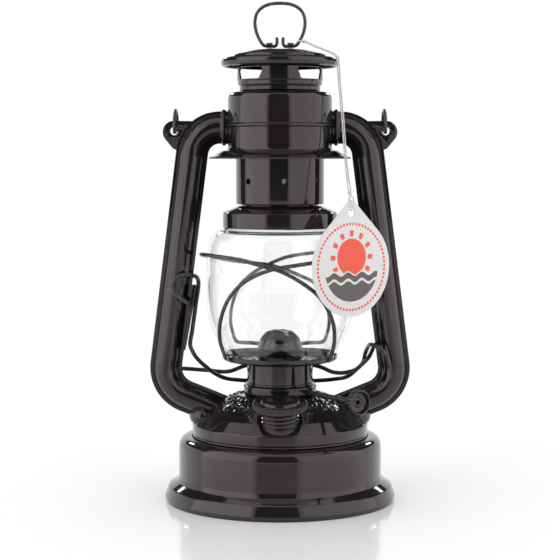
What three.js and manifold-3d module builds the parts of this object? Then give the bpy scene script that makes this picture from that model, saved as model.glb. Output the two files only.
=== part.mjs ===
// A small tubular barn lantern: a flared tank, two hollow side tubes, an air drum with a sprung
// chimney, a clear globe in a wire guard, a flat-wick burner, a filler cap and a folding bail.
// Millimetres, +Z up. The origin is the centre of the tank's underside, on the lantern's axis.
// -Y is the front, where the filler cap is; the side tubes are at -X (left) and +X (right).
import * as THREE from "three";
import { mergeVertices } from "three/addons/utils/BufferGeometryUtils.js";
import Module from "manifold-3d";

const wasm = await Module();
wasm.setup();

// ---------------------------------------------------------------- driving dimensions

const GAP = 0.3; // clearance between pieces that touch
const TURN = 2 * Math.PI;

const BASE_RADIUS = 67.3; // widest point of the foot
const WALL_RADIUS = 58.9; // tank wall above the foot
const BAND_RADIUS = 51; // vertical band of the tank top
const BAND_TOP = 44.3;
const TANK_TOP = 61.6; // rim of the burner's seat
const SEAT_Z = 60.1; // where the burner stands, a little sunk

const TUBE_HALF_WIDTH = 9.2; // to the edge of the seam flange
const TUBE_BULGE = [6.7, 7.8]; // half width and half depth of the hollow part
const TUBE_WALL = 0.7;
const TUBE_ENTRY_Z = 215.3; // tube centre where it enters the drum
const TUBE_ELBOW = 16; // bend radius at the top
const TUBE_SPLAY = 0.1277; // how far the leg leans outwards per millimetre of height
const TUBE_BEND = 18; // bend radius at the bottom
const TUBE_ARM_SLOPE = 22; // degrees, of the short arm into the tank top

const DRUM_RADIUS = 30;
const DRUM_BEAD = 1.2; // how far the seam bead stands out
const DRUM_SEAM_Z = 215.5;
const DRUM_TOP = 235.6;
const SKIRT_RADIUS = 41; // flared skirt below the drum

const GLOBE_RADIUS = 42.4;
const GLOBE_FOOT_Z = 82.3;
const GLOBE_TOP_Z = 166.2;
const PLATE_RADIUS = 33.5;

const SLEEVE_RADIUS = 25.4;
const FLUE_RADIUS = 21.5;
const HOOD_RADIUS = 34;
const HOOD_TOP = 260.3;

const WIRE = 1; // radius of the guard and lift wires
const HANDLE_WIRE = 0.95; // radius of the ring and bail wires
const SHEET = 0.8; // thickness of the stamped steel

const WICK_AZIMUTH = 36; // degrees from the front towards the right, along the wick's width
const SHAFT_Z = 63.6;
const SHAFT_OFFSET = 5; // from the lantern's axis, square to the wick
const FILLER_TILT = 8; // degrees, leaning to the front

const ROUND = 20; // facets round a large turned piece
const SMALL_ROUND = 16; // facets round a small one

// ---------------------------------------------------------------- materials

const paint = (color, roughness, metalness, extra = {}) =>
  new THREE.MeshStandardMaterial({ color, roughness, metalness, ...extra });

const enamel = () => paint(0x1c191a, 0.15, 0.1);
const wireEnamel = () => paint(0x222020, 0.3, 0.2);
const glass = () => paint(0xf4f8f8, 0.05, 0, { transparent: true, opacity: 0.35 });
const brass = () => paint(0xb08a4a, 0.35, 1);
const steel = () => paint(0x8c8f92, 0.35, 1);
const rubber = () => paint(0x1a1a1a, 0.8, 0);
const cotton = () => paint(0xe6dcc2, 0.95, 0);
const card = () => paint(0xf2f1ee, 0.6, 0);

// ---------------------------------------------------------------- building helpers

const lantern = new THREE.Group();
const radians = THREE.MathUtils.degToRad;

// Adds one named piece.
function node(name, geometry, material) {
  const mesh = new THREE.Mesh(geometry, material);
  mesh.name = name;
  lantern.add(mesh);
}

// A position-only, indexed copy of a geometry whose faces point outwards.
function outward(geometry) {
  const bare = geometry.clone();
  bare.deleteAttribute("normal");
  bare.deleteAttribute("uv");
  const merged = mergeVertices(bare, 1e-4);
  const index = Array.from(merged.index.array);
  const corner = (i) => new THREE.Vector3().fromBufferAttribute(merged.attributes.position, index[i]);
  const kept = [];
  let volume = 0;
  for (let i = 0; i < index.length; i += 3) {
    const triangle = index.slice(i, i + 3);
    if (new Set(triangle).size < 3) continue; // collapsed on the axis of a turned piece
    volume += corner(i).dot(corner(i + 1).cross(corner(i + 2)));
    kept.push(triangle);
  }
  if (volume < 0) kept.forEach((triangle) => triangle.reverse());
  merged.setIndex(kept.flat());
  return merged;
}

function solid(geometry) {
  const closed = outward(geometry);
  return new wasm.Manifold(
    new wasm.Mesh({
      numProp: 3,
      vertProperties: Float32Array.from(closed.attributes.position.array),
      triVerts: Uint32Array.from(closed.index.array),
    }),
  );
}

function geometryOf(manifold) {
  const mesh = manifold.getMesh();
  return new THREE.BufferGeometry()
    .setAttribute("position", new THREE.BufferAttribute(Float32Array.from(mesh.vertProperties), 3))
    .setIndex(Array.from(mesh.triVerts));
}

// The geometry less every cutter.
function cut(geometry, ...cutters) {
  const left = cutters.reduce((body, cutter) => body.subtract(solid(cutter)), solid(geometry));
  return geometryOf(left);
}

// Points along an outline of [x, y, corner radius] entries, with each radius drawn as an arc.
function rounded(corners, arcSteps = 1) {
  const points = [];
  corners.forEach(([x, y, radius], i) => {
    const here = new THREE.Vector2(x, y);
    const before = corners[i - 1];
    const after = corners[i + 1];
    if (!radius || !before || !after) {
      points.push(here);
      return;
    }
    const back = new THREE.Vector2(before[0], before[1]).sub(here).normalize();
    const on = new THREE.Vector2(after[0], after[1]).sub(here).normalize();
    const half = Math.acos(THREE.MathUtils.clamp(back.dot(on), -1, 1)) / 2;
    const start = back.clone().multiplyScalar(radius / Math.tan(half)).add(here);
    const end = on.clone().multiplyScalar(radius / Math.tan(half)).add(here);
    for (let step = 0; step <= arcSteps; step += 1) {
      const t = step / arcSteps;
      const bend = start.clone().multiplyScalar((1 - t) ** 2);
      bend.add(here.clone().multiplyScalar(2 * t * (1 - t)));
      points.push(bend.add(end.clone().multiplyScalar(t ** 2)));
    }
  });
  return points;
}

// The same line moved sideways, to its left, by a distance.
function offset(line, distance) {
  return line.map((point, i) => {
    const before = line[Math.max(i - 1, 0)];
    const after = line[Math.min(i + 1, line.length - 1)];
    const into = point.clone().sub(before);
    const out = after.clone().sub(point);
    const a = into.length() ? into.normalize() : out.clone().normalize();
    const b = out.length() ? out.normalize() : a.clone();
    const miter = a.clone().add(b).normalize();
    const stretch = 1 / Math.max(0.5, miter.dot(a));
    return point.clone().add(new THREE.Vector2(-miter.y, miter.x).multiplyScalar(distance * stretch));
  });
}

// A solid turned about Z from a closed outline of [radius, height] points.
function turned(outline, facets = ROUND) {
  const closed = [...outline, outline[0]];
  return outward(new THREE.LatheGeometry(closed, facets).rotateX(Math.PI / 2));
}

// A turned sheet-metal shell: its outer line, and that line moved inwards by the wall.
function shell(corners, { wall = SHEET, facets = ROUND } = {}) {
  const outer = rounded(corners);
  const plain = rounded(corners.map(([r, z, radius]) => [r, z, radius > 2 * wall ? radius : 0]));
  const inner = offset(plain, wall).map((p) => new THREE.Vector2(Math.max(p.x, 0), p.y));
  return turned([...outer, ...inner.reverse()], facets);
}

// A turned solid with everything under its outer line filled, for cutting.
function core(corners, grow, floor, facets = ROUND) {
  const outer = offset(rounded(corners), -grow);
  const last = outer[outer.length - 1];
  const first = outer[0];
  return turned(
    [
      new THREE.Vector2(first.x, floor),
      ...outer,
      new THREE.Vector2(0, last.y),
      new THREE.Vector2(0, floor),
    ],
    facets,
  );
}

// A solid ring with a rectangular section.
function ring(inner, outer, bottom, top, facets = SMALL_ROUND) {
  const corners = [
    [inner, bottom],
    [outer, bottom],
    [outer, top],
    [inner, top],
  ];
  return turned(corners.map(([r, z]) => new THREE.Vector2(r, z)), facets);
}

// A cylinder along Z that starts at height 0.
function rod(radius, length, facets = SMALL_ROUND) {
  return new THREE.CylinderGeometry(radius, radius, length, facets)
    .rotateX(Math.PI / 2)
    .translate(0, 0, length / 2);
}

function block(width, depth, height) {
  return new THREE.BoxGeometry(width, depth, height);
}

// A route whose stations are the given points, so that bends get more of them than straights.
class Route extends THREE.Curve {
  constructor(points) {
    super();
    this.points = points;
  }

  getPoint(t, target = new THREE.Vector3()) {
    const place = t * (this.points.length - 1);
    const i = Math.min(Math.floor(place), this.points.length - 2);
    return target.lerpVectors(this.points[i], this.points[i + 1], place - i);
  }

  getPointAt(t, target) {
    return this.getPoint(t, target);
  }

  getTangentAt(t, target = new THREE.Vector3()) {
    const i = Math.round(t * (this.points.length - 1));
    const before = this.points[Math.max(i - 1, 0)];
    const after = this.points[Math.min(i + 1, this.points.length - 1)];
    return target.subVectors(after, before).normalize();
  }
}

// A section swept along a list of points.
function swept(section, points) {
  const settings = { steps: points.length - 1, bevelEnabled: false, extrudePath: new Route(points) };
  return outward(new THREE.ExtrudeGeometry(section, settings));
}

function disc(radius, sides) {
  const corners = Array.from({ length: sides }, (_, i) => {
    const angle = ((i + 0.5) / sides) * TURN;
    return new THREE.Vector2(radius * Math.cos(angle), radius * Math.sin(angle));
  });
  return new THREE.Shape(corners);
}

// A round wire along a smooth curve through [x, y, z] points.
function wire(points, radius, steps, sides = 8) {
  const curve = new THREE.CatmullRomCurve3(points.map((p) => new THREE.Vector3(...p)), false, "centripetal");
  return swept(disc(radius, sides), curve.getSpacedPoints(steps));
}

// A point at a radius, an azimuth in degrees from the front towards the right, and a height.
function around(radius, azimuth, z) {
  const angle = radians(azimuth);
  return [radius * Math.sin(angle), -radius * Math.cos(angle), z];
}

const SIDES = [
  ["left", -1],
  ["right", 1],
];

// ---------------------------------------------------------------- tank

const BURNER_NECK = 14.9; // radius of the hole that the burner screws into

const tankTopLine = [
  [BAND_RADIUS, 37.5],
  [BAND_RADIUS, 38.2],
  [BAND_RADIUS - 0.5, 38.6],
  [BAND_RADIUS, 39],
  [BAND_RADIUS, BAND_TOP, 1.2],
  [45, 50],
  [34, 57.6],
  [24.5, TANK_TOP],
  [22.6, SEAT_Z + 0.2],
  [BURNER_NECK, SEAT_Z],
];

const fillerFrame = new THREE.Matrix4()
  .makeTranslation(0, -40.4, 48)
  .multiply(new THREE.Matrix4().makeRotationX(radians(FILLER_TILT)));
const NECK_RADIUS = 10.3;

function tank() {
  const skirt = shell([
    [BASE_RADIUS - 0.9, 0],
    [BASE_RADIUS, 2.6, 1.5],
    [65, 8.4, 2],
    [60, 11.4, 1.2],
    [WALL_RADIUS, 14, 1.2],
    [WALL_RADIUS, 37, 6.5],
    [BAND_RADIUS + 0.4, 37],
  ]);
  node("base_skirt", skirt, enamel());

  const bottom = [
    [0, 0],
    [BASE_RADIUS - 2.2, 0],
    [BASE_RADIUS - 2.2, 3.5],
    [BASE_RADIUS - 3, 3.5],
    [BASE_RADIUS - 3, 1],
    [0, 1],
  ];
  node("tank_bottom", turned(bottom.map(([r, z]) => new THREE.Vector2(r, z))), steel());

  const fillerBore = rod(8.6, 30).translate(0, 0, -15).applyMatrix4(fillerFrame);
  node("tank_top", cut(shell(tankTopLine), fillerBore), enamel());
  node("burner_collar", ring(12.4, BURNER_NECK - GAP, SEAT_Z - 5, SEAT_Z), brass());
}

// The filler neck, its screw cap and the gasket under the cap, built on the neck's own axis.
function filler() {
  const CAP_RADIUS = 15.4;
  const CAP_BOTTOM = 11;
  const CAP_RIM = 14.6;
  const NECK_TOP = 12.4;

  const neckLine = [
    [NECK_RADIUS, -6],
    [NECK_RADIUS, 5.2],
    [NECK_RADIUS - 0.6, 5.8],
    [NECK_RADIUS, 6.4],
    [NECK_RADIUS, 7.4],
    [NECK_RADIUS - 0.6, 8],
    [NECK_RADIUS, 8.6],
    [NECK_RADIUS, NECK_TOP],
    [8.4, NECK_TOP],
    [8.4, -6],
  ];
  const neck = turned(neckLine.map(([r, z]) => new THREE.Vector2(r, z)), SMALL_ROUND);
  node("filler_neck", cut(neck.applyMatrix4(fillerFrame), core(tankTopLine, GAP, 20)), enamel());

  const gasket = ring(8.6, NECK_RADIUS + 0.6, NECK_TOP + GAP, NECK_TOP + 1.4);
  node("filler_gasket", gasket.applyMatrix4(fillerFrame), rubber());

  const knurls = 20;
  const rim = Array.from({ length: 2 * knurls }, (_, i) => {
    const angle = (i / (2 * knurls)) * TURN;
    const radius = CAP_RADIUS - (i % 2) * 0.5;
    return new THREE.Vector2(radius * Math.cos(angle), radius * Math.sin(angle));
  });
  const skirt = new THREE.ExtrudeGeometry(new THREE.Shape(rim), {
    depth: CAP_RIM - CAP_BOTTOM,
    bevelEnabled: false,
  }).translate(0, 0, CAP_BOTTOM);
  const crown = rod(10.4, CAP_RIM + 1.3 - CAP_BOTTOM).translate(0, 0, CAP_BOTTOM);
  const hollow = rod(NECK_RADIUS + 0.9, NECK_TOP + 1.7 - CAP_BOTTOM + 1).translate(0, 0, CAP_BOTTOM - 1);
  const cap = solid(skirt).add(solid(crown)).subtract(solid(hollow));
  node("filler_cap", geometryOf(cap).applyMatrix4(fillerFrame), enamel());
}

// ---------------------------------------------------------------- side tubes

// The tube's centre line on the right side: out of the drum, down the leg and into the tank top.
function tubePoints(side) {
  const legDirection = Math.atan2(-1, TUBE_SPLAY);
  const armDirection = radians(180 + TUBE_ARM_SLOPE) - TURN;
  const elbowCentre = new THREE.Vector2(34.7, TUBE_ENTRY_Z - TUBE_ELBOW);
  const bendCentre = new THREE.Vector2(48.3, 76.2);
  const onArc = (centre, radius, heading) =>
    new THREE.Vector2(centre.x - radius * Math.sin(heading), centre.y + radius * Math.cos(heading));

  const line = [new THREE.Vector2(20, TUBE_ENTRY_Z), new THREE.Vector2(30, TUBE_ENTRY_Z)];
  const elbowSteps = 5;
  for (let i = 0; i <= elbowSteps; i += 1) {
    line.push(onArc(elbowCentre, TUBE_ELBOW, (legDirection * i) / elbowSteps));
  }
  const bendSteps = 6;
  for (let i = 0; i <= bendSteps; i += 1) {
    const heading = legDirection + ((armDirection - legDirection) * i) / bendSteps;
    line.push(onArc(bendCentre, TUBE_BEND, heading));
  }
  const arm = new THREE.Vector2(Math.cos(armDirection), Math.sin(armDirection));
  line.push(line[line.length - 1].clone().add(arm.multiplyScalar(16)));
  return line.map((p) => new THREE.Vector3(side * p.x, 0, p.y));
}

// One pressed half of a side tube: a half-oval channel with a flange at each edge.
// The section's first axis is width, in the tube's plane, and its second is depth.
function halfTubeSection(towards) {
  const [halfWidth, halfDepth] = TUBE_BULGE;
  const seam = 0.05;
  const arc = (inset, steps, reversed) =>
    Array.from({ length: steps + 1 }, (_, i) => {
      const angle = ((reversed ? steps - i : i) / steps) * Math.PI;
      return [
        seam + (halfDepth - inset) * Math.sin(angle),
        (halfWidth - inset) * Math.cos(angle),
      ];
    });
  const outerArc = arc(0, 6, false).map(([d, w]) => [Math.max(d, TUBE_WALL), w]);
  const corners = [
    [seam, TUBE_HALF_WIDTH],
    [TUBE_WALL, TUBE_HALF_WIDTH],
    ...outerArc,
    [TUBE_WALL, -TUBE_HALF_WIDTH],
    [seam, -TUBE_HALF_WIDTH],
    ...arc(TUBE_WALL, 4, true),
  ];
  return new THREE.Shape(corners.map(([depth, width]) => new THREE.Vector2(width, towards * depth)));
}

// The whole outside of a tube, grown by a clearance, for cutting holes for it.
function tubeEnvelope(side, grow) {
  const corners = Array.from({ length: 12 }, (_, i) => {
    const angle = (i / 12) * TURN;
    return new THREE.Vector2(
      (TUBE_HALF_WIDTH + grow) * Math.cos(angle),
      (TUBE_BULGE[1] + grow) * Math.sin(angle),
    );
  });
  return swept(new THREE.Shape(corners), tubePoints(side));
}

const boot = (side, inset) =>
  new THREE.SphereGeometry(1, 12, 8)
    .scale(8 - inset, 12 - inset, 7.5 - inset)
    .translate(side * 45, 0, 48.6);

function sideTubes() {
  const drumCore = rod(DRUM_RADIUS + DRUM_BEAD + GAP, 60, ROUND).translate(0, 0, 190);
  const topCore = core(tankTopLine, GAP, 20);

  SIDES.forEach(([name, side]) => {
    const points = tubePoints(side);
    const halves = [
      ["front", -side],
      ["back", side],
    ];
    halves.forEach(([half, towards]) => {
      const tube = swept(halfTubeSection(towards), points);
      const clear = [drumCore, topCore, boot(side, -GAP)];
      node(`${name}_tube_${half}`, cut(tube, ...clear), enamel());
    });

    node(`${name}_tube_boot`, cut(boot(side, 0), boot(side, SHEET), topCore), enamel());

    const ferrule = new THREE.CylinderGeometry(1, 1, 7.5, SMALL_ROUND)
      .rotateZ(Math.PI / 2)
      .scale(1, TUBE_BULGE[1] + 1.5, TUBE_HALF_WIDTH + 1.4)
      .translate(side * 30.6, 0, TUBE_ENTRY_Z);
    node(`${name}_ferrule`, cut(ferrule, tubeEnvelope(side, GAP), drumCore), enamel());

    lug(name, side);
  });
}

// The flat ear for the bail, gripped in the seam on the outside of the elbow.
function lug(name, side) {
  const LUG = { x: 60.7, z: 213.3, radius: 6.5, hole: 2.4, half: 0.75 };
  const outline = new THREE.Shape();
  outline.absarc(LUG.x + 0.3, LUG.z - 0.6, LUG.radius, radians(-32), radians(95), false);
  outline.lineTo(49.5, LUG.z + 5.7);
  outline.lineTo(46, LUG.z);
  outline.lineTo(56, 200.5);
  outline.lineTo(61.8, 203.4);
  const hole = new THREE.Path().absarc(LUG.x, LUG.z, LUG.hole, 0, TURN, true);
  outline.holes.push(hole);
  const plate = new THREE.ExtrudeGeometry(outline, {
    depth: 2 * LUG.half,
    bevelEnabled: false,
    curveSegments: 8,
  });
  plate.rotateX(Math.PI / 2).translate(0, LUG.half, 0);
  if (side < 0) plate.scale(-1, 1, 1);
  node(`${name}_lug`, cut(plate, tubeEnvelope(side, GAP)), enamel());
}

// The channel on the inside of the left leg that the lift wire runs in.
function leverGuide() {
  const corners = [
    [-3.9, 0],
    [3.9, 0],
    [3.9, 5],
    [3.2, 5],
    [3.2, 0.7],
    [-3.2, 0.7],
    [-3.2, 5],
    [-3.9, 5],
  ];
  const section = new THREE.Shape(corners.map(([y, x]) => new THREE.Vector2(y, x)));
  const GUIDE = { foot: 87, length: 38 };
  const guide = new THREE.ExtrudeGeometry(section, { depth: GUIDE.length, bevelEnabled: false });
  const lean = Math.atan(TUBE_SPLAY);
  guide.rotateZ(-Math.PI / 2);
  guide.rotateY(lean);
  const tubeX = 76.3 - TUBE_SPLAY * GUIDE.foot; // the leg's centre beside the guide's foot
  guide.translate(-(tubeX - TUBE_HALF_WIDTH - GAP), 0, GUIDE.foot);
  node("lever_guide", outward(guide), enamel());
}

// ---------------------------------------------------------------- air drum

function drum() {
  const lower = [
    [SKIRT_RADIUS, 199],
    [37.2, 200.4, 3],
    [33.8, 202.6, 1.5],
    [DRUM_RADIUS + 0.4, 203.4, 0.5],
    [DRUM_RADIUS, 204.4, 0.5],
    [DRUM_RADIUS, DRUM_SEAM_Z],
  ];
  const upper = [
    [DRUM_RADIUS, DRUM_SEAM_Z + GAP],
    [DRUM_RADIUS + DRUM_BEAD, DRUM_SEAM_Z + 0.6],
    [DRUM_RADIUS + DRUM_BEAD, DRUM_SEAM_Z + 1.4],
    [DRUM_RADIUS, DRUM_SEAM_Z + 2.2],
    [DRUM_RADIUS, DRUM_TOP, 4.4],
    [22.5, DRUM_TOP],
  ];
  const ports = SIDES.map(([, side]) =>
    new THREE.CylinderGeometry(1, 1, 20, SMALL_ROUND)
      .rotateZ(Math.PI / 2)
      .scale(1, TUBE_BULGE[1] - 1, TUBE_BULGE[0] - 1)
      .translate(side * DRUM_RADIUS, 0, TUBE_ENTRY_Z),
  );
  node("drum_lower_shell", cut(shell(lower), ...ports), enamel());
  node("drum_upper_shell", cut(shell(upper), ...ports), enamel());
}

// ---------------------------------------------------------------- burner

const wickTurn = radians(90 - WICK_AZIMUTH); // turns +X onto the wick's width

// Geometry built with the wick's width along X, turned to its azimuth.
const turnedToWick = (geometry) => geometry.rotateZ(-wickTurn);

function burner() {
  const CUP_SPLIT_Z = 66.9;
  const shaftHole = rod(1.9, 40).rotateY(Math.PI / 2).translate(10, SHAFT_OFFSET, SHAFT_Z);
  const baseCup = shell(
    [
      [BURNER_NECK, SEAT_Z + GAP],
      [21, SEAT_Z + GAP, 1.6],
      [21.4, CUP_SPLIT_Z - 0.2, 1.2],
      [19.6, CUP_SPLIT_Z],
    ],
  );
  node("burner_base_cup", cut(baseCup, turnedToWick(shaftHole)), enamel());

  const upperCup = shell(
    [
      [19.5, CUP_SPLIT_Z + GAP],
      [19.5, 80.2, 1.5],
      [12.6, 80.2],
    ],
  );
  node("burner_upper_cup", upperCup, enamel());

  const slot = turnedToWick(block(19, 5, 30).translate(0, 0, 100));
  const dome = shell(
    [
      [13.2, 80.9],
      [13.2, 88.4, 3],
      [11.6, 93.6, 3],
      [7.4, 98, 3],
      [0, 99.3],
    ],
    { wall: 0.7, facets: SMALL_ROUND },
  );
  node("flame_dome", cut(dome, slot), enamel());

  const tube = block(17.2, 4.2, 40).translate(0, 0, 75.5);
  const bore = block(15.8, 2.8, 50).translate(0, 0, 75.5);
  const sprocketWindow = block(14, 4, 9).translate(0, 2.5, SHAFT_Z);
  node("wick_tube", turnedToWick(cut(tube, bore, sprocketWindow)), brass());
  node("wick", turnedToWick(block(15, 2.2, 85.5).translate(0, 0, 56.2)), cotton());
}

function wickWinder() {
  const SHAFT_RADIUS = 1.4;
  const KNOB_AT = 63; // distance of the knob's back from the middle of the wick
  const onShaft = (geometry) =>
    turnedToWick(geometry.rotateY(Math.PI / 2).translate(0, SHAFT_OFFSET, SHAFT_Z));

  node("wick_shaft", onShaft(rod(SHAFT_RADIUS, KNOB_AT + 6.7, 12).translate(0, 0, -7)), steel());

  const teeth = 9;
  const outline = Array.from({ length: 2 * teeth }, (_, i) => {
    const angle = (i / (2 * teeth)) * TURN;
    const radius = i % 2 ? 2.7 : 3.6;
    return new THREE.Vector2(radius * Math.cos(angle), radius * Math.sin(angle));
  });
  const wheel = new THREE.Shape(outline);
  wheel.holes.push(new THREE.Path().absarc(0, 0, SHAFT_RADIUS + GAP, 0, TURN, true));
  const places = [
    ["wick_sprocket_inner", -4.5],
    ["wick_sprocket_outer", 3.3],
  ];
  places.forEach(([name, at]) => {
    const sprocket = new THREE.ExtrudeGeometry(wheel, { depth: 1.2, bevelEnabled: false, curveSegments: 6 });
    node(name, onShaft(sprocket.translate(0, 0, at)), brass());
  });

  const knob = rounded([
    [SHAFT_RADIUS + GAP, 0],
    [3.4, 0],
    [3.8, 1.2],
    [7.2, 1.6, 1],
    [7.2, 5.6, 0.6],
    [6.3, 5.6],
    [5.6, 2.8, 1],
    [SHAFT_RADIUS + GAP, 2.6],
  ]);
  node("wick_knob", onShaft(turned(knob, SMALL_ROUND).translate(0, 0, KNOB_AT)), enamel());
}

// ---------------------------------------------------------------- globe and its wires

function globe() {
  const plate = [
    [14.2, 81],
    [PLATE_RADIUS - 1.6, 81],
    [PLATE_RADIUS, 81.8, 0.6],
    [PLATE_RADIUS, 84.4],
    [PLATE_RADIUS - 0.8, 84.4],
    [PLATE_RADIUS - 1.2, 81.9],
    [14.2, 81.9],
  ];
  node("globe_plate", turned(rounded(plate)), enamel());

  const wall = 1.6;
  const outer = new THREE.SplineCurve(
    [
      [30, GLOBE_FOOT_Z],
      [33.2, 86],
      [36.7, 93.5],
      [GLOBE_RADIUS - 1.9, 101.5],
      [GLOBE_RADIUS - 0.3, 112],
      [GLOBE_RADIUS, 128],
      [GLOBE_RADIUS - 0.5, 143],
      [GLOBE_RADIUS - 2.3, 151.5],
      [36.6, 156],
      [32.6, 157.2],
      [30.3, 158.4],
      [29.8, 160.8],
      [29.8, GLOBE_TOP_Z],
    ].map(([r, z]) => new THREE.Vector2(r, z)),
  ).getPoints(10);
  const inner = offset(outer, wall).reverse();
  node("globe", turned([...outer, ...inner], ROUND), glass());
}

// One wire: front left foot, over the front, round the right side, behind, along the rear
// chord, and back round the left side to the front right foot. The two runs cross in front
// and behind at different radii.
function guardWire() {
  const OUTSIDE = 46.2;
  const INSIDE = 43.8;
  const first = [
    [36.4, -58, 84],
    [40.2, -58, 94.5],
    [43.6, -50, 107],
    [44.9, -39, 120],
    [45.8, -24.5, 130],
    [OUTSIDE, -8, 136],
    [OUTSIDE, 18, 139.6],
    [OUTSIDE, 50, 142],
    [OUTSIDE, 90, 143],
    [OUTSIDE, 130, 142],
    [OUTSIDE, 155, 140.5],
    [OUTSIDE, 175, 137.7],
    [OUTSIDE, 187, 134],
    [46, 199, 129.4],
    [45.7, 212, 122],
    [45.2, 221, 109.5],
    [44.6, 223, 96],
    [43.4, 220, 88.2],
  ];
  const chord = [
    [-18, 36.4, 86.6],
    [18, 36.4, 86.6],
  ];
  const second = [
    [43.4, 140, 88.2],
    [44.6, 137, 96],
    [44.4, 139, 109.5],
    [44.1, 149, 121.5],
    [INSIDE, 163.5, 126.7],
    [INSIDE, 177, 130.6],
    [INSIDE, 189, 133.2],
    [INSIDE, 203, 134.6],
    [44.4, 220, 136.2],
    [45.4, 245, 139.6],
    [45.8, 270, 142.2],
    [45, 305, 142.9],
    [INSIDE, 330, 141.4],
    [INSIDE, 346, 138.6],
    [INSIDE, 360, 135.6],
    [INSIDE, 376, 129],
    [INSIDE, 391, 120],
    [43.5, 402.5, 107],
    [40.2, 410, 95],
    [36.4, 412, 84],
  ];
  const polar = ([radius, azimuth, z]) => around(radius, azimuth, z);
  const points = [...first.map(polar), ...chord, ...second.map(polar)];
  node("globe_guard_wire", wire(points, WIRE, 72, 6), wireEnamel());
}

function liftWires() {
  const crossbar = [
    [-66, 11.2, 74],
    [-57.4, 15, 73.6],
    [-44, 15.5, 72.6],
    [-30.8, 15.5, 71.8],
    [-20, 17, 75.2],
    [0, 23, 77.5],
    [23, 17, 74.6],
    [31.7, 15, 71.4],
    [38.5, 15, 71.2],
    [45.3, 15, 73.3],
    [49, 14, 77.5],
    [50.2, 11.5, 83],
    [51.6, 4, 88.3],
    [53, -6.5, 90.4],
    [57, -10.6, 89],
    [61, -11.2, 85],
    [63, -11.2, 79],
  ];
  node("lift_crossbar", wire(crossbar, WIRE, 36, 6), wireEnamel());

  const lift = [
    [-53, -11, 115],
    [-56.5, -11.2, 117.5],
    [-61.2, -11.2, 122.5],
    [-60.5, -11.2, 128.6],
    [-55.6, -10.6, 131],
    [-49.6, -7.6, 130.4],
    [-47.3, 0, 126.5],
    [-49, 0, 112],
    [-51, 0, 98],
    [-52.2, 0.2, 89.5],
    [-50.7, 1, 85.2],
    [-48.8, 2.6, 81.8],
    [-42.4, 7.6, 74.8],
    [-34.3, 12, 69],
    [-23.4, 20.6, 65.9],
    [0, 27, 64.6],
    [23, 24, 65.2],
    [33.6, 19, 66.9],
    [40.3, 12, 69.6],
    [46.8, 9.4, 75.6],
    [52.2, 10, 81],
    [56, 12, 88],
    [60, 12, 91],
    [63, 12, 88],
  ];
  node("lift_wire", wire(lift, WIRE, 48, 6), wireEnamel());
}

// ---------------------------------------------------------------- chimney

function chimney() {
  const COLLAR_RADIUS = 33;
  const collar = [
    [COLLAR_RADIUS, 157.9],
    [COLLAR_RADIUS, 166.7, 1.2],
    [24.2, 170.2, 0.8],
    [FLUE_RADIUS + 0.2, 170.5],
    [FLUE_RADIUS + 0.2, 171],
  ];
  node("globe_collar", shell(collar), enamel());

  const HOLES = 7;
  const FIRST_HOLE = 6.3; // degrees from the front
  const SLEEVE_FACETS = 28;
  const sleeve = shell(
    [
      [SLEEVE_RADIUS, 171.4],
      [SLEEVE_RADIUS, 209.4],
    ],
    { facets: SLEEVE_FACETS },
  );
  const holes = Array.from({ length: HOLES }, (_, i) =>
    rod(1.75, 8, 8)
      .rotateX(Math.PI / 2)
      .translate(0, -SLEEVE_RADIUS + 4, 184.6)
      .rotateZ(radians(FIRST_HOLE) + (i / HOLES) * TURN),
  );
  node("chimney_sleeve", cut(sleeve, ...holes), enamel());
  node("chimney_tube", ring(FLUE_RADIUS - 0.7, FLUE_RADIUS, 171.6, DRUM_TOP - 0.1, 24), steel());
  node("spring_seat", ring(FLUE_RADIUS + GAP, 26.6, 209.7, 210.7, 24), steel());

  const TURNS = 4;
  const springTop = DRUM_TOP - SHEET - GAP - 0.9;
  const springFoot = 211.9;
  const helix = Array.from({ length: TURNS * 10 + 1 }, (_, i) => {
    const t = i / (TURNS * 10);
    const angle = t * TURNS * TURN;
    return new THREE.Vector3(
      25.2 * Math.cos(angle),
      25.2 * Math.sin(angle),
      THREE.MathUtils.lerp(springFoot, springTop, t),
    );
  });
  node("chimney_spring", swept(disc(0.8, 5), helix), steel());

  const cage = shell(
    [
      [22.2, DRUM_TOP + GAP],
      [23.3, DRUM_TOP + 0.7, 0.5],
      [23.3, DRUM_TOP + 2.8, 0.5],
      [22.8, DRUM_TOP + 3.2],
      [24.1, DRUM_TOP + 3.7, 0.4],
      [24.1, DRUM_TOP + 6.1],
      [24.6, DRUM_TOP + 6.7],
      [24.6, 254.6],
    ],
  );
  const WINDOW = { width: 49, low: DRUM_TOP + 7, height: 6.6 }; // degrees, then millimetres
  const windows = [41.5, 138.5, 221.5, 318.5].map((middle) => {
    const from = radians(middle - WINDOW.width / 2);
    const to = radians(middle + WINDOW.width / 2);
    const wedge = new THREE.Shape();
    wedge.moveTo(15 * Math.cos(from), 15 * Math.sin(from));
    wedge.lineTo(32 * Math.cos(from), 32 * Math.sin(from));
    wedge.lineTo(32 * Math.cos(to), 32 * Math.sin(to));
    wedge.lineTo(15 * Math.cos(to), 15 * Math.sin(to));
    return new THREE.ExtrudeGeometry(wedge, { depth: WINDOW.height, bevelEnabled: false })
      .translate(0, 0, WINDOW.low);
  });
  node("vent_cage", cut(cage, ...windows), enamel());

  const hood = [
    [HOOD_RADIUS - 1.2, 249.8],
    [HOOD_RADIUS, 251.6, 1],
    [HOOD_RADIUS - 0.4, 254, 1],
    [HOOD_RADIUS - 2.6, 255.2, 0.8],
    [26.8, 255.5, 0.4],
    [26.2, 257, 0.6],
    [16.5, 259.3, 6],
    [0, HOOD_TOP],
  ];
  node("hood_cap", shell(hood), enamel());
}

// The ring that lifts the chimney, and the two straps that hold it on the hood.
const RING_AXIS_Z = 261.7;

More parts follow.
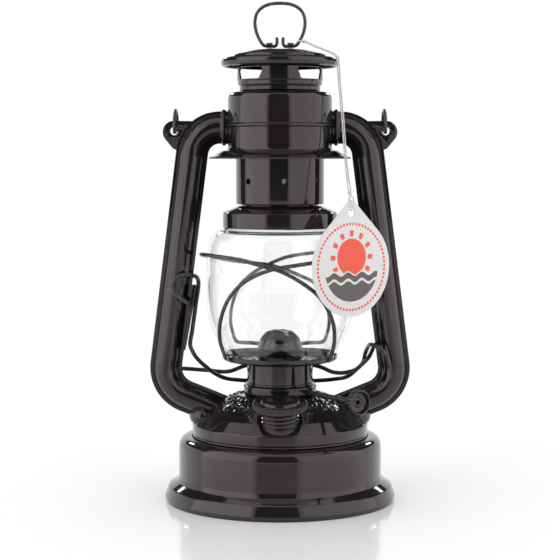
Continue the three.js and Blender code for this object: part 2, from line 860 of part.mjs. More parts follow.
function ringHandle() {
  const right = [
    [1.8, 0, 266.4],
    [1.85, 0, 262.9],
    [2.9, 0, RING_AXIS_Z],
    [5, 0, RING_AXIS_Z],
    [7.6, 0, RING_AXIS_Z],
    [9.4, 0, 262.3],
    [11.4, 0, 265],
    [13.6, 0, 270],
    [14.3, 0, 276],
    [12.6, 0, 281.4],
    [7.6, 0, 285],
    [0, 0, 286.05],
  ];
  const left = right.slice(0, -1).map(([x, y, z]) => [-x, y, z]);
  node("ring_handle", wire([...right, ...left.reverse()], HANDLE_WIRE, 44, 6), wireEnamel());

  const inner = HANDLE_WIRE + 0.35;
  const outer = inner + 0.7;
  const foot = HOOD_TOP + GAP - RING_AXIS_Z;
  const strap = new THREE.Shape();
  strap.moveTo(5, foot);
  strap.lineTo(5, foot + 0.6);
  strap.lineTo(outer, foot + 0.8);
  strap.absarc(0, 0, outer, 0, Math.PI, false);
  strap.lineTo(-outer, foot + 0.8);
  strap.lineTo(-5, foot + 0.6);
  strap.lineTo(-5, foot);
  strap.lineTo(-inner, foot);
  strap.absarc(0, 0, inner, Math.PI, 0, true);
  strap.lineTo(inner, foot);
  SIDES.forEach(([name, side]) => {
    const saddle = new THREE.ExtrudeGeometry(strap, { depth: 3.6, bevelEnabled: false, curveSegments: 8 });
    saddle.rotateX(Math.PI / 2).rotateZ(Math.PI / 2);
    saddle.translate(side * 6 - 1.8, 0, RING_AXIS_Z);
    node(`ring_strap_${name}`, outward(saddle), enamel());
  });
}

// ---------------------------------------------------------------- bail

const BAIL_PIVOT_Z = 218.8;

// The bow, folded back level with the lugs' holes, with an eye through each hole.
// Each eye is a circle about the pivot, so it stays clear of its lug at any angle.
function bail() {
  const LUG_X = 60.7;
  const EYE = 6.3;
  const REACH = 88;
  const legZ = BAIL_PIVOT_Z - EYE;
  const eyeTurn = 322; // degrees of circle, from the leg round to the wire's end
  const eye = Array.from({ length: 13 }, (_, i) => {
    const angle = radians(270 - (eyeTurn * (12 - i)) / 12);
    return [EYE * Math.cos(angle), BAIL_PIVOT_Z + EYE * Math.sin(angle)];
  });
  const bow = Array.from({ length: 9 }, (_, i) => {
    const angle = (i / 16) * Math.PI;
    return [LUG_X * Math.cos(angle), 10 + (REACH - 10) * Math.sin(angle), legZ];
  });
  const right = [...eye.map(([y, z]) => [LUG_X, y, z]), ...bow];
  const left = right.slice(0, -1).map(([x, y, z]) => [-x, y, z]);
  const points = [...right, ...left.reverse()].map((p) => new THREE.Vector3(...p));
  node("bail_handle", swept(disc(HANDLE_WIRE, 6), points), wireEnamel());
}

// ---------------------------------------------------------------- hang tag and its string

const TAG = { x: 39.9, y: -29.6, z: 137, radius: 28, apex: 37.4, half: 0.4 };
const TAG_FACING = Math.atan2(TAG.x, -TAG.y) - 0.28; // turned a little to the front
const TAG_HOLE_RISE = 30.5;
const TAG_HOLE = 2.4; // radius

function hangTag() {
  const topRadius = 3.4;
  const topCentre = TAG.apex - topRadius;
  const swing = Math.acos((TAG.radius - topRadius) / topCentre);
  const outline = new THREE.Shape();
  outline.absarc(0, topCentre, topRadius, Math.PI / 2 - swing, Math.PI / 2 + swing, false);
  outline.absarc(0, 0, TAG.radius, Math.PI / 2 + swing, Math.PI / 2 - swing + TURN, false);
  outline.holes.push(new THREE.Path().absarc(0, TAG_HOLE_RISE, TAG_HOLE, 0, TURN, true));
  const tag = new THREE.ExtrudeGeometry(outline, {
    depth: 2 * TAG.half,
    bevelEnabled: false,
    curveSegments: 12,
  });
  tag.translate(0, 0, -TAG.half).rotateX(Math.PI / 2).rotateZ(TAG_FACING);
  tag.translate(TAG.x, TAG.y, TAG.z);
  node("hang_tag", outward(tag), card());
}

// A loop of thin string: two strands side by side from the ring's right leg, over the edge of
// the hood, outside the flared skirt, and through the hole in the tag.
function tagString() {
  const STRING = 0.45;
  const down = [
    [14.4, -1.6, 264.2],
    [20, -4.4, 261.6],
    [26, -8, 258.9],
    [30, -10.7, 257],
    [32.5, -12.4, 254.4],
    [33, -13, 250.5],
    [33.7, -13.9, 240],
    [35.3, -15.6, 222],
    [36.9, -19.4, 199.5],
    [38, -24.4, 187.5],
    [39.1, -28, 179],
  ];
  const between = 0.5; // half the distance between the strands
  const first = down.map(([x, y, z]) => [x - between, y - 0.35, z]);
  const second = down.map(([x, y, z]) => [x + between, y + 0.35, z]);
  const byTag = (out, z) => [
    TAG.x + out * Math.sin(TAG_FACING),
    TAG.y - out * Math.cos(TAG_FACING),
    z,
  ];
  const bend = 1.9; // half the width of the loop through the card
  const lowest = TAG.z + TAG_HOLE_RISE + TAG_HOLE - 2 * GAP - STRING;
  const loop = [
    byTag(bend, lowest + 6),
    byTag(bend, lowest + bend),
    byTag(0.7 * bend, lowest + 0.3 * bend),
    byTag(0, lowest),
    byTag(-0.7 * bend, lowest + 0.3 * bend),
    byTag(-bend, lowest + bend),
    byTag(-bend, lowest + 6),
  ];
  const points = [...first, ...loop, ...second.reverse()];
  node("tag_string", wire(points, STRING, 78, 8), cotton());
}

// ---------------------------------------------------------------- assembly

tank();
filler();
sideTubes();
leverGuide();
drum();
burner();
wickWinder();
globe();
guardWire();
liftWires();
chimney();
ringHandle();
bail();
hangTag();
tagString();

export default lantern;
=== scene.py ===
# The barn lantern's looks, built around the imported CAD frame. Its axes are +Z up, -Y the front
# and +X the right. Sizes of pieces are in millimetres, and mesh code turns them into metres.
# The camera, the studio and the bumps of the materials are in metres.
from math import acos, atan2, cos, exp, hypot, pi, radians, sin, sqrt, tan

import bmesh
import bpy
from mathutils import Matrix, Vector, noise


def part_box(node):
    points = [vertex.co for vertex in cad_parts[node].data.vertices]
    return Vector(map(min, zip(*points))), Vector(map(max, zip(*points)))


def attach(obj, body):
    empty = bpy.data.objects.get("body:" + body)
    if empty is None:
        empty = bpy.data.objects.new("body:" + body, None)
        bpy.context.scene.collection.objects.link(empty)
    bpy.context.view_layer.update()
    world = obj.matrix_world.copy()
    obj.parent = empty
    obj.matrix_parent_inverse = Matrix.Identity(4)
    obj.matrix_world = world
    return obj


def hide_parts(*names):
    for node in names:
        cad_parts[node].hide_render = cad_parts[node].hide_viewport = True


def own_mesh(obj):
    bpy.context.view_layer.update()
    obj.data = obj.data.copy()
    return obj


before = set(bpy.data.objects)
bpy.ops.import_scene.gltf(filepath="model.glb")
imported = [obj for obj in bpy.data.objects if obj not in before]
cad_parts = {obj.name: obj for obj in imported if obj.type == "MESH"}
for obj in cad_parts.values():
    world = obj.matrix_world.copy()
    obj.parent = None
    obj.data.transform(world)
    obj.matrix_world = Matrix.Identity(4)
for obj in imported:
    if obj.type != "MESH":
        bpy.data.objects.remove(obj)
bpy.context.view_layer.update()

MM = 0.001
TURN = 2 * pi
SHEET = 0.8  # thickness of the stamped steel
WIRE = 1.12  # radius of the guard and lift wires, over their lacquer
HANDLE_WIRE = 0.95  # radius of the ring and bail wires
STRING_RADIUS = 0.45
SMOOTH_BELOW = radians(32)  # edges flatter than this are shaded smooth


def in_scene(name, data):
    """A new object of the data, linked to the scene."""
    obj = bpy.data.objects.new(name, data)
    bpy.context.scene.collection.objects.link(obj)
    return obj


# ---- camera

def make_camera():
    data = bpy.data.cameras.new("camera")
    data.lens = 103.24
    data.sensor_width = 36
    camera = in_scene("camera", data)
    camera.location = (0, -0.928, 0.2007)
    camera.rotation_euler = (radians(85.48), 0, 0)
    bpy.context.scene.camera = camera


# ---- outlines and curves

def span(node):
    """Largest radius from the lantern's axis, lowest and highest point of a turned CAD node."""
    low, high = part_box(node)
    return high.x / MM, low.z / MM, high.z / MM


def rounded(corners, steps=6):
    """Points along [r, z, fillet] corners, each fillet drawn as a smooth bend."""
    points = []
    for i, corner in enumerate(corners):
        here = Vector(corner[:2])
        fillet = corner[2] if len(corner) > 2 else 0
        if not fillet or i in (0, len(corners) - 1):
            points.append(here)
            continue
        back = (Vector(corners[i - 1][:2]) - here).normalized()
        on = (Vector(corners[i + 1][:2]) - here).normalized()
        half = acos(max(-1, min(1, back.dot(on)))) / 2
        start = here + back * (fillet / tan(half))
        end = here + on * (fillet / tan(half))
        for step in range(steps + 1):
            t = step / steps
            points.append(start * (1 - t) ** 2 + here * (2 * t * (1 - t)) + end * t ** 2)
    return points


def offset(line, distance):
    """The line moved sideways, to its left."""
    moved = []
    for i, point in enumerate(line):
        into = point - line[max(i - 1, 0)]
        out = line[min(i + 1, len(line) - 1)] - point
        a = into.normalized() if into.length > 0 else out.normalized()
        b = out.normalized() if out.length > 0 else a
        miter = (a + b).normalized()
        stretch = 1 / max(0.5, miter.dot(a))
        moved.append(point + Vector((-miter.y, miter.x)) * distance * stretch)
    return moved


def shell_line(corners, wall=SHEET):
    """A closed outline: the outer line, a rounded edge at each end, and the line inside it."""
    outer = rounded(corners)
    sharp = [[c[0], c[1], c[2] if len(c) > 2 and c[2] > 2 * wall else 0] for c in corners]
    inner = offset(rounded(sharp), wall)
    inner = [Vector((max(p.x, 0), p.y)) for p in inner]
    return outer + inner[::-1]


def catmull(points, spacing):
    """Evenly spaced points along a smooth centripetal curve through the points."""
    p = [Vector(q) for q in points]
    p = [2 * p[0] - p[1]] + p + [2 * p[-1] - p[-2]]
    fine = []
    per_stretch = 24
    for i in range(1, len(p) - 2):
        d0, d1, d2 = (sqrt((p[k + 1] - p[k]).length) for k in (i - 1, i, i + 1))
        t1 = ((p[i] - p[i - 1]) / d0 - (p[i + 1] - p[i - 1]) / (d0 + d1) + (p[i + 1] - p[i]) / d1) * d1
        t2 = ((p[i + 1] - p[i]) / d1 - (p[i + 2] - p[i]) / (d1 + d2) + (p[i + 2] - p[i + 1]) / d2) * d1
        for step in range(per_stretch):
            t = step / per_stretch
            fine.append(
                p[i] * (2 * t ** 3 - 3 * t ** 2 + 1) + p[i + 1] * (3 * t ** 2 - 2 * t ** 3)
                + t1 * (t ** 3 - 2 * t ** 2 + t) + t2 * (t ** 3 - t ** 2)
            )
    fine.append(p[-2])
    return respaced(fine, spacing)


def respaced(line, spacing):
    """The same line with points an equal distance apart."""
    lengths = [0.0]
    for a, b in zip(line, line[1:]):
        lengths.append(lengths[-1] + (b - a).length)
    count = max(2, round(lengths[-1] / spacing))
    even = []
    k = 0
    for i in range(count + 1):
        at = lengths[-1] * i / count
        while k < len(line) - 2 and lengths[k + 1] < at:
            k += 1
        t = (at - lengths[k]) / max(lengths[k + 1] - lengths[k], 1e-9)
        even.append(line[k].lerp(line[k + 1], min(max(t, 0), 1)))
    return even


def around(radius, azimuth, z):
    """A point at a radius, an azimuth in degrees from the front towards the right, and a height."""
    angle = radians(azimuth)
    return Vector((radius * sin(angle), -radius * cos(angle), z))


def polar(radius, angle):
    return radius * cos(angle), radius * sin(angle)


def turns(count):
    """Angles spread evenly over one full turn."""
    return [TURN * i / count for i in range(count)]


def circle(radius, sides=14):
    return [polar(radius, angle) for angle in turns(sides)]


# ---- mesh helpers

def piece(name, mesh, material, body, *nodes):
    """Puts a finished mesh in the scene on its body, with its material."""
    obj = in_scene(name, mesh)
    mesh.materials.clear()
    mesh.materials.append(material)
    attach(obj, body)
    if nodes:
        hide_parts(*nodes)
    return obj


def shade(bm):
    """Shades the faces smooth and marks the sharp edges between them."""
    for face in bm.faces:
        face.smooth = True
    for edge in bm.edges:
        edge.smooth = not (edge.is_manifold and edge.calc_face_angle(0) > SMOOTH_BELOW)


def band(bm, here, there):
    """Faces between two closed rings that have the same number of points."""
    for k in range(len(here)):
        n = (k + 1) % len(here)
        bm.faces.new((here[k], here[n], there[n], there[k]))


def to_mesh(name, bm, place=None):
    """A bmesh in millimetres as a mesh in metres, with outward faces and marked sharp edges."""
    if place is not None:
        bmesh.ops.transform(bm, matrix=place, verts=bm.verts)
    bmesh.ops.remove_doubles(bm, verts=bm.verts, dist=1e-4)
    bmesh.ops.recalc_face_normals(bm, faces=bm.faces)
    bmesh.ops.scale(bm, vec=(MM, MM, MM), verts=bm.verts)
    shade(bm)
    mesh = bpy.data.meshes.new(name)
    bm.to_mesh(mesh)
    bm.free()
    return mesh


def turned_bm(outline, steps=128, shape=None):
    """A solid turned about Z from a closed outline; shape(r, z, angle) may move its points."""
    bm = bmesh.new()
    outline = [Vector(p) for p in outline]
    columns = []
    for angle in turns(steps):
        column = []
        for point in outline:
            r, z = shape(point.x, point.y, angle) if shape else point
            column.append(bm.verts.new((*polar(r, angle), z)))
        columns.append(column)
    for here, there in zip(columns, columns[1:] + columns[:1]):
        band(bm, here, there)
    bmesh.ops.remove_doubles(bm, verts=bm.verts, dist=1e-4)
    bmesh.ops.dissolve_degenerate(bm, dist=1e-4, edges=bm.edges)
    return bm


def turned(name, outline, steps=128, place=None, shape=None):
    return to_mesh(name, turned_bm(outline, steps, shape), place)


def turned_piece(name, outline, steps, material, body, node, place=None, shape=None):
    return piece(name, turned(name, outline, steps, place, shape), material, body, node)


def join(bm, other):
    """Moves all of another bmesh into this one."""
    mesh = bpy.data.meshes.new("joined")
    other.to_mesh(mesh)
    other.free()
    bm.from_mesh(mesh)


def solid_piece(name, bm, material, body, *nodes, place=None):
    return piece(name, to_mesh(name, bm, place), material, body, *nodes)


def swept_bm(points, section, axis=None, twist=0.0, rounded_ends=False):
    """A closed section swept along points. axis fixes the section's second direction."""
    bm = bmesh.new()
    rings = []
    count = len(points)
    side = None
    for i, point in enumerate(points):
        along = (points[min(i + 1, count - 1)] - points[max(i - 1, 0)]).normalized()
        if axis is not None:
            b = Vector(axis)
            a = b.cross(along).normalized()
        else:
            if side is None:
                side = along.orthogonal().normalized()
            side = (side - along * side.dot(along)).normalized()
            a, b = side, along.cross(side)
        turn = twist * i / max(count - 1, 1)
        c, s = cos(turn), sin(turn)
        ring = [bm.verts.new(point + a * (u * c - v * s) + b * (u * s + v * c)) for u, v in section]
        rings.append(ring)
    for here, there in zip(rings, rings[1:]):
        band(bm, here, there)
    if rounded_ends:
        radius = max(hypot(u, v) for u, v in section)
        for ring, point, beyond in ((rings[0], points[0], points[1]), (rings[-1], points[-1], points[-2])):
            out = (point - beyond).normalized()
            last = ring
            for step in (1, 2, 3):
                angle = step * pi / 8
                grown = [
                    bm.verts.new(point + (v.co - point) * cos(angle) + out * radius * sin(angle))
                    for v in ring
                ]
                band(bm, last, grown)
                last = grown
            bm.faces.new(last)
    else:
        bm.faces.new(rings[0])
        bm.faces.new(rings[-1])
    return bm


def wire(name, points, radius, spacing=0.8):
    """A round wire with rounded ends along a smooth curve."""
    line = catmull(points, spacing)
    inset = [p.copy() for p in line]
    inset[0] = line[0].lerp(line[1], 0.6)
    inset[-1] = line[-1].lerp(line[-2], 0.6)
    return to_mesh(name, swept_bm(inset, circle(radius), rounded_ends=True))


def modified(mesh, *modifiers):
    """The mesh after the given (type, settings) modifiers, applied in order."""
    obj = in_scene("work", mesh)
    for kind, settings in modifiers:
        modifier = obj.modifiers.new(kind, kind)
        for key, value in settings.items():
            setattr(modifier, key, value)
    bpy.context.view_layer.update()
    graph = bpy.context.evaluated_depsgraph_get()
    result = bpy.data.meshes.new_from_object(obj.evaluated_get(graph))
    bpy.data.objects.remove(obj)
    return result


def sharpened(mesh):
    """Smooth shading with its sharp edges marked again, after a modifier."""
    bm = bmesh.new()
    bm.from_mesh(mesh)
    shade(bm)
    bm.to_mesh(mesh)
    bm.free()
    return mesh


def cut(mesh, *cutters):
    """The mesh less each cutter mesh."""
    for cutter in cutters:
        tool = in_scene("cutter", cutter)
        mesh = modified(mesh, ("BOOLEAN", {"operation": "DIFFERENCE", "solver": "EXACT", "object": tool}))
        bpy.data.objects.remove(tool)
    return sharpened(mesh)


def bevelled_copy(node, width, segments=2):
    """A CAD node's own shape with its flat faces joined up and its edges rounded."""
    bm = bmesh.new()
    bm.from_mesh(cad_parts[node].data)
    bmesh.ops.remove_doubles(bm, verts=bm.verts, dist=1e-6)
    bmesh.ops.dissolve_limit(bm, angle_limit=0.02, verts=bm.verts, edges=bm.edges)
    bmesh.ops.recalc_face_normals(bm, faces=bm.faces)
    mesh = bpy.data.meshes.new(node)
    bm.to_mesh(mesh)
    bm.free()
    settings = {"width": width * MM, "segments": segments, "limit_method": "ANGLE", "angle_limit": 0.6}
    return sharpened(modified(mesh, ("BEVEL", settings)))


def bevelled_piece(name, node, width, material, body):
    return piece(name, bevelled_copy(node, width), material, body, node)


# ---- materials

def preset(node, **values):
    """Sets a node's inputs; an underscore stands for a space in an input's name."""
    for name, value in values.items():
        node.inputs[name.replace("_", " ")].default_value = value


def material(name, color, roughness, metallic=0.0):
    """A Principled material, and its node tree's tools for adding detail."""
    mat = bpy.data.materials.new(name)
    mat.use_nodes = True
    tree = mat.node_tree
    shader = tree.nodes["Principled BSDF"]
    preset(shader, Base_Color=(*color, 1), Roughness=roughness, Metallic=metallic)
    mat.diffuse_color = (*color, 1)
    return mat, tree, shader


def place_of(tree):
    """Object coordinates: metres in the row frame, fixed to the piece."""
    return tree.nodes.new("ShaderNodeTexCoord").outputs["Object"]


def noise_map(tree, scale, detail=3.0, roughness=0.5):
    texture = tree.nodes.new("ShaderNodeTexNoise")
    preset(texture, Scale=scale, Detail=detail, Roughness=roughness)
    tree.links.new(place_of(tree), texture.inputs["Vector"])
    return texture.outputs["Fac"]


def ramp(tree, factor, *stops):
    """Colours or greys along a factor; each stop is (place, (r, g, b))."""
    node = tree.nodes.new("ShaderNodeValToRGB")
    tree.links.new(factor, node.inputs["Fac"])
    elements = node.color_ramp.elements
    while len(elements) < len(stops):
        elements.new(0.5)
    for element, (at, color) in zip(elements, stops):
        element.position = at
        element.color = (*color, 1) if len(color) == 3 else (color[0],) * 3 + (1,)
    return node.outputs["Color"]


def feed(tree, shader, socket, factor, *stops):
    """A ramp along a factor, into a socket of the shader."""
    tree.links.new(ramp(tree, factor, *stops), shader.inputs[socket])


def bump(tree, shader, height, distance, strength=1.0, below=None):
    node = tree.nodes.new("ShaderNodeBump")
    preset(node, Distance=distance, Strength=strength)
    tree.links.new(height, node.inputs["Height"])
    if below is not None:
        tree.links.new(below, node.inputs["Normal"])
    tree.links.new(node.outputs["Normal"], shader.inputs["Normal"])
    return node.outputs["Normal"]


def enamel_material():
    """Glossy black enamel: a faint brown cast, orange peel, and thin dust and handling marks."""
    mat, tree, shader = material("black_enamel", (0.012, 0.0098, 0.0105), 0.07)
    preset(shader, IOR=1.52, Specular_Tint=(1.0, 0.86, 0.89, 1), Coat_Weight=0.2, Coat_Roughness=0.03)
    patches = noise_map(tree, 45, 4)
    deep, pale = (0.0105, 0.0085, 0.0092), (0.0145, 0.0118, 0.0126)
    feed(tree, shader, "Base Color", patches, (0.3, deep), (0.7, pale))
    marks = noise_map(tree, 260, 6, 0.65)
    feed(tree, shader, "Roughness", marks, (0.42, (0.055,)), (0.62, (0.10,)), (0.8, (0.22,)))
    peel = bump(tree, shader, noise_map(tree, 420, 2), 0.00002, 0.5)
    bump(tree, shader, noise_map(tree, 60, 2), 0.00008, 0.35, below=peel)
    return mat


def wire_material():
    """Blackened wire: a thinner, drier lacquer with drawing lines, and rubbed spots whose palest colour is
    partly worn bare metal and partly a painted highlight.
    """
    mat, tree, shader = material("blackened_wire", (0.032, 0.030, 0.030), 0.25, 0.25)
    rubbed_and_highlight_spots = noise_map(tree, 380, 5, 0.6)
    # The palest colour is partly worn bare metal and partly a painted highlight, scattered in random spots.
    lacquer, thin, bare_and_highlight = (0.045, 0.042, 0.042), (0.075, 0.071, 0.07), (0.15, 0.14, 0.14)
    feed(tree, shader, "Base Color", rubbed_and_highlight_spots, (0.45, lacquer), (0.62, thin), (0.78, bare_and_highlight))
    feed(tree, shader, "Roughness", rubbed_and_highlight_spots, (0.4, (0.25,)), (0.75, (0.42,)))
    bump(tree, shader, noise_map(tree, 700, 2), 0.00001, 0.3)
    return mat


def steel_material():
    """Plain tinned steel inside the lantern: grey, brushed, with duller patches."""
    mat, tree, shader = material("plain_steel", (0.5, 0.5, 0.5), 0.3, 1.0)
    dull = noise_map(tree, 90, 4)
    feed(tree, shader, "Base Color", dull, (0.3, (0.42, 0.42, 0.43)), (0.7, (0.60, 0.60, 0.60)))
    feed(tree, shader, "Roughness", dull, (0.3, (0.42,)), (0.7, (0.24,)))
    bump(tree, shader, noise_map(tree, 1100, 4), 0.00003, 0.5)
    return mat


def glass_material():
    """Clear pressed glass with the faint waviness that a mould leaves."""
    mat, tree, shader = material("globe_glass", (0.985, 0.995, 0.99), 0.0)
    preset(shader, Transmission_Weight=1.0, IOR=1.47)
    bump(tree, shader, noise_map(tree, 55, 1), 0.00012, 0.3)
    return mat


def cotton_material(name, color, scale):
    """Cotton threads over and under each other, with paler and darker fibres."""
    mat, tree, shader = material(name, color, 0.95)
    preset(shader, Sheen_Weight=0.3, Sheen_Roughness=0.5)
    fibres = noise_map(tree, scale, 4, 0.7)
    dark = tuple(0.72 * c for c in color)
    light = tuple(min(1, 1.12 * c) for c in color)
    feed(tree, shader, "Base Color", fibres, (0.3, dark), (0.65, light))
    bump(tree, shader, fibres, 0.0001, 0.6)
    return mat


def rubber_material():
    mat, tree, shader = material("gasket_rubber", (0.03, 0.03, 0.03), 0.75)
    bloom = noise_map(tree, 300, 4)
    feed(tree, shader, "Base Color", bloom, (0.35, (0.02, 0.02, 0.02)), (0.75, (0.06, 0.058, 0.055)))
    bump(tree, shader, bloom, 0.00005, 0.4)
    return mat


# ---- tank

BOOT = Vector((45, 0, 48.6))  # middle of a tube boot, right side
BOOT_SIZE = Vector((8, 12, 7.5))
FILLER_Y = -40.4
FILLER_Z = 48
FILLER_TILT = radians(8)
filler_frame = Matrix.Translation((0, FILLER_Y, FILLER_Z)) @ Matrix.Rotation(FILLER_TILT, 4, "X")


def tank_skirt(paint):
    foot, bottom, top = span("base_skirt")
    wall = 58.9
    neck = 51.4
    line = shell_line([
        [foot - 0.9, bottom], [foot, bottom + 2.6, 1.8], [foot - 2.3, 8.4, 2.2], [60, 11.4, 1.2],
        [wall, 14, 1.2], [wall, top, 6.5], [neck, top],
    ])
    turned_piece("tank_skirt", line, 160, paint, "frame", "base_skirt")

    reach, low, _ = span("tank_bottom")
    under = [(0, low), (reach - 1.5, low), (reach, low + 0.4)]
    under += [(reach, 3.5), (reach - 0.8, 3.5), (reach - 0.8, 1.3)]
    ribs = [(50, 1.3), (48, 2.1), (40, 2.1), (38, 1.3), (20, 1.3), (18, 2.1), (0, 2.1)]
    turned_piece("tank_plate", under + ribs, 128, paint, "frame", "tank_bottom")


def dome_relief(r, z, angle):
    """Hammered dents pressed into the dome's middle zone, clear of the filler and the boots."""
    starts, ends = (23.5, 26.5), (36.5, 39.5)
    dent_scale, swirl_scale = 0.36, 0.5
    dent_depth, swirl_depth = 0.52, 0.45
    zone = smooth(*starts, r) * (1 - smooth(*ends, r))
    x, y = polar(r, angle)
    to_filler = hypot(x, y - FILLER_Y)
    to_boot = hypot(abs(x) - BOOT.x, y)
    zone *= smooth(14.5, 18, to_filler) * smooth(12, 15, to_boot)
    if zone <= 0:
        return r, z
    where = Vector((x * dent_scale, y * dent_scale, 3.7))
    distances, _ = noise.voronoi(where)
    dent = min(1, (distances[1] - distances[0]) * 1.6) - 0.45
    swirl = noise.noise(Vector((x * swirl_scale, y * swirl_scale, 9.1)))
    push = zone * (dent_depth * dent + swirl_depth * swirl)
    return r + 0.3 * push, z + 0.95 * push


def smooth(low, high, value):
    t = max(0, min(1, (value - low) / (high - low)))
    return t * t * (3 - 2 * t)


def tank_dome(paint):
    edge, low, top = span("tank_top")
    corners = [
        [edge, low], [edge, low + 0.7, 0.1], [edge - 0.5, low + 1.1, 0.1], [edge, low + 1.5, 0.1],
        [edge, 44.3, 1.4], [45, 50, 6], [34, 57.6, 10], [24.5, top, 4], [22.6, top - 1.3, 0.6],
        [14.9, top - 1.5],
    ]
    outer = rounded(corners)
    fine = []
    for a, b in zip(outer, outer[1:]):
        parts = max(1, round((b - a).length / 0.55)) if a.y > 44 else 1
        fine += [a.lerp(b, k / parts) for k in range(parts)]
    fine.append(outer[-1])
    inner = [(14.9, top - 2.3), (22.4, top - 2.2), (24.2, top - 1.0)]
    inner += [(33.5, 56.7), (44.4, 49.2), (50.2, 43.6), (50.2, low)]
    inner = [Vector(p) for p in inner]
    inside = {(p.x, p.y) for p in inner}

    def relief(r, z, angle):
        return (r, z) if (r, z) in inside else dome_relief(r, z, angle)

    turned_piece("tank_dome", fine + inner, 420, paint, "frame", "tank_top", shape=relief)

    reach, low, high = span("burner_collar")
    bore = 12.4
    collar = [(bore, low), (reach, low), (reach, high), (bore + 0.4, high), (bore, high - 0.4)]
    turned_piece("burner_socket", collar, 96, paint, "frame", "burner_collar")


# ---- filler

def filler(paint, rubber):
    neck_r, cap_r = 10.3, 15.4
    cap_low, cap_rim, neck_top = 11, 14.6, 12.4
    pitch = 2.3
    ridges, ridge_depth = 60, 0.55

    def thread(r, z, angle):
        if r < neck_r - 0.9 or not 1.0 < z < neck_top - 0.2:
            return r, z
        phase = (z / pitch - angle / TURN) % 1
        crest = max(0, cos(TURN * phase)) ** 0.7
        return r + 0.75 * crest - 0.35, z

    line = [(8.6, -5.8), (neck_r - 0.3, -5.8)]
    line += [(neck_r, -1 + 0.14 * k) for k in range(95)]
    line += [(neck_r - 0.4, neck_top), (8.8, neck_top), (8.6, neck_top - 0.2)]
    turned_piece("threaded_neck", line, 96, paint, "frame", "filler_neck", filler_frame, thread)

    seal = [(8.6, 0.3), (8.9, 0), (10.6, 0), (10.9, 0.3), (10.9, 0.8), (10.6, 1.1), (8.9, 1.1), (8.6, 0.8)]
    seal = [(r, neck_top + 0.3 + z) for r, z in seal]
    turned_piece("cap_seal", seal, 64, rubber, "cap_gasket", "filler_gasket", filler_frame)

    def knurl(r, z, angle):
        if r < cap_r - 0.2:
            return r, z
        depth = ridge_depth * abs(sin(angle * ridges / 2))
        edge = smooth(cap_low, cap_low + 0.5, z) * (1 - smooth(cap_rim - 0.5, cap_rim, z))
        return r - depth * edge, z

    crown = 10.4
    top = cap_rim + 1.3
    hollow = neck_r + 0.9
    outer = rounded([
        [hollow, cap_low], [cap_r - 0.5, cap_low, 0.2], [cap_r - 0.1, cap_low + 0.4, 0.2],
        [cap_r, cap_low + 0.7], [cap_r, cap_low + 1.6], [cap_r, cap_low + 2.6],
        [cap_r, cap_rim - 0.7], [cap_r - 0.3, cap_rim - 0.2, 0.2], [cap_r - 0.9, cap_rim, 0.3],
        [crown + 1.6, cap_rim - 0.5, 0.6], [crown + 0.5, cap_rim - 0.3, 0.4],
        [crown, top - 0.3, 0.5], [crown - 0.8, top, 0.3], [crown - 2.2, top - 0.6, 0.6],
        [0, top - 0.3],
    ], 4)
    inside = [(0, neck_top + 1.7), (hollow, neck_top + 1.7)]
    turned_piece("screw_cap", outer + inside, 480, paint, "cap", "filler_cap", filler_frame, knurl)


# ---- side tubes

TUBE_ENTRY_Z = 215.3
TUBE_SPLAY = 0.1277
SIDES = (("left", -1), ("right", 1))


def tube_line(side, spacing=1.5):
    """The tube's centre line: out of the drum, down the leg and into its boot on the tank."""
    elbow, elbow_radius = Vector((34.7, TUBE_ENTRY_Z - 16)), 16
    bend, bend_radius = Vector((48.3, 76.2)), 18
    leg = atan2(-1, TUBE_SPLAY)
    arm = radians(180 + 22) - TURN

    def on_arc(centre, radius, heading):
        return centre + Vector((-sin(heading), cos(heading))) * radius

    line = [Vector((31.2, TUBE_ENTRY_Z))]
    line += [on_arc(elbow, elbow_radius, leg * i / 24) for i in range(25)]
    line += [on_arc(bend, bend_radius, leg + (arm - leg) * i / 30) for i in range(31)]
    line.append(line[-1] + Vector((cos(arm), sin(arm))) * 22.5)
    line = [Vector((side * p.x, 0, p.y)) for p in line]
    return respaced(line, spacing)


def half_tube_section(towards):
    """Half of the pressed tube: a rounded channel that meets a narrow flange at each edge."""
    half_width, half_depth, edge = 6.7, 7.8, 9.2
    sheet, seam = 0.7, 0.04
    fillet = 0.9
    outer = [(edge, seam), (edge + 0.05, 0.35), (edge - 0.15, sheet), (half_width + fillet, sheet)]
    steps = 22
    for i in range(steps + 1):
        angle = pi * i / steps
        w, d = half_width * cos(angle), half_depth * sin(angle)
        if d > sheet + 0.5:
            outer.append((w, d))
    outer += [(-half_width - fillet, sheet), (-edge + 0.15, sheet), (-edge - 0.05, 0.35), (-edge, seam)]
    inner = []
    for i in range(13):
        angle = pi * (1 - i / 12)
        depth = max(seam, (half_depth - sheet) * sin(angle))
        inner.append(((half_width - sheet) * cos(angle), depth))
    return [(w, towards * d) for w, d in outer + inner]


def side_tubes(paint):
    for name, side in SIDES:
        line = tube_line(side)
        for half, towards in (("front", -1), ("back", 1)):
            bm = swept_bm(line, half_tube_section(towards), axis=(0, 1, 0))
            solid_piece(f"{name}_{half}_tube", bm, paint, "frame", f"{name}_tube_{half}")
        boot_socket(name, side, paint)
        tube_ferrule(name, side, paint)
        bevelled_piece(f"{name}_ear", f"{name}_lug", 0.3, paint, "frame")


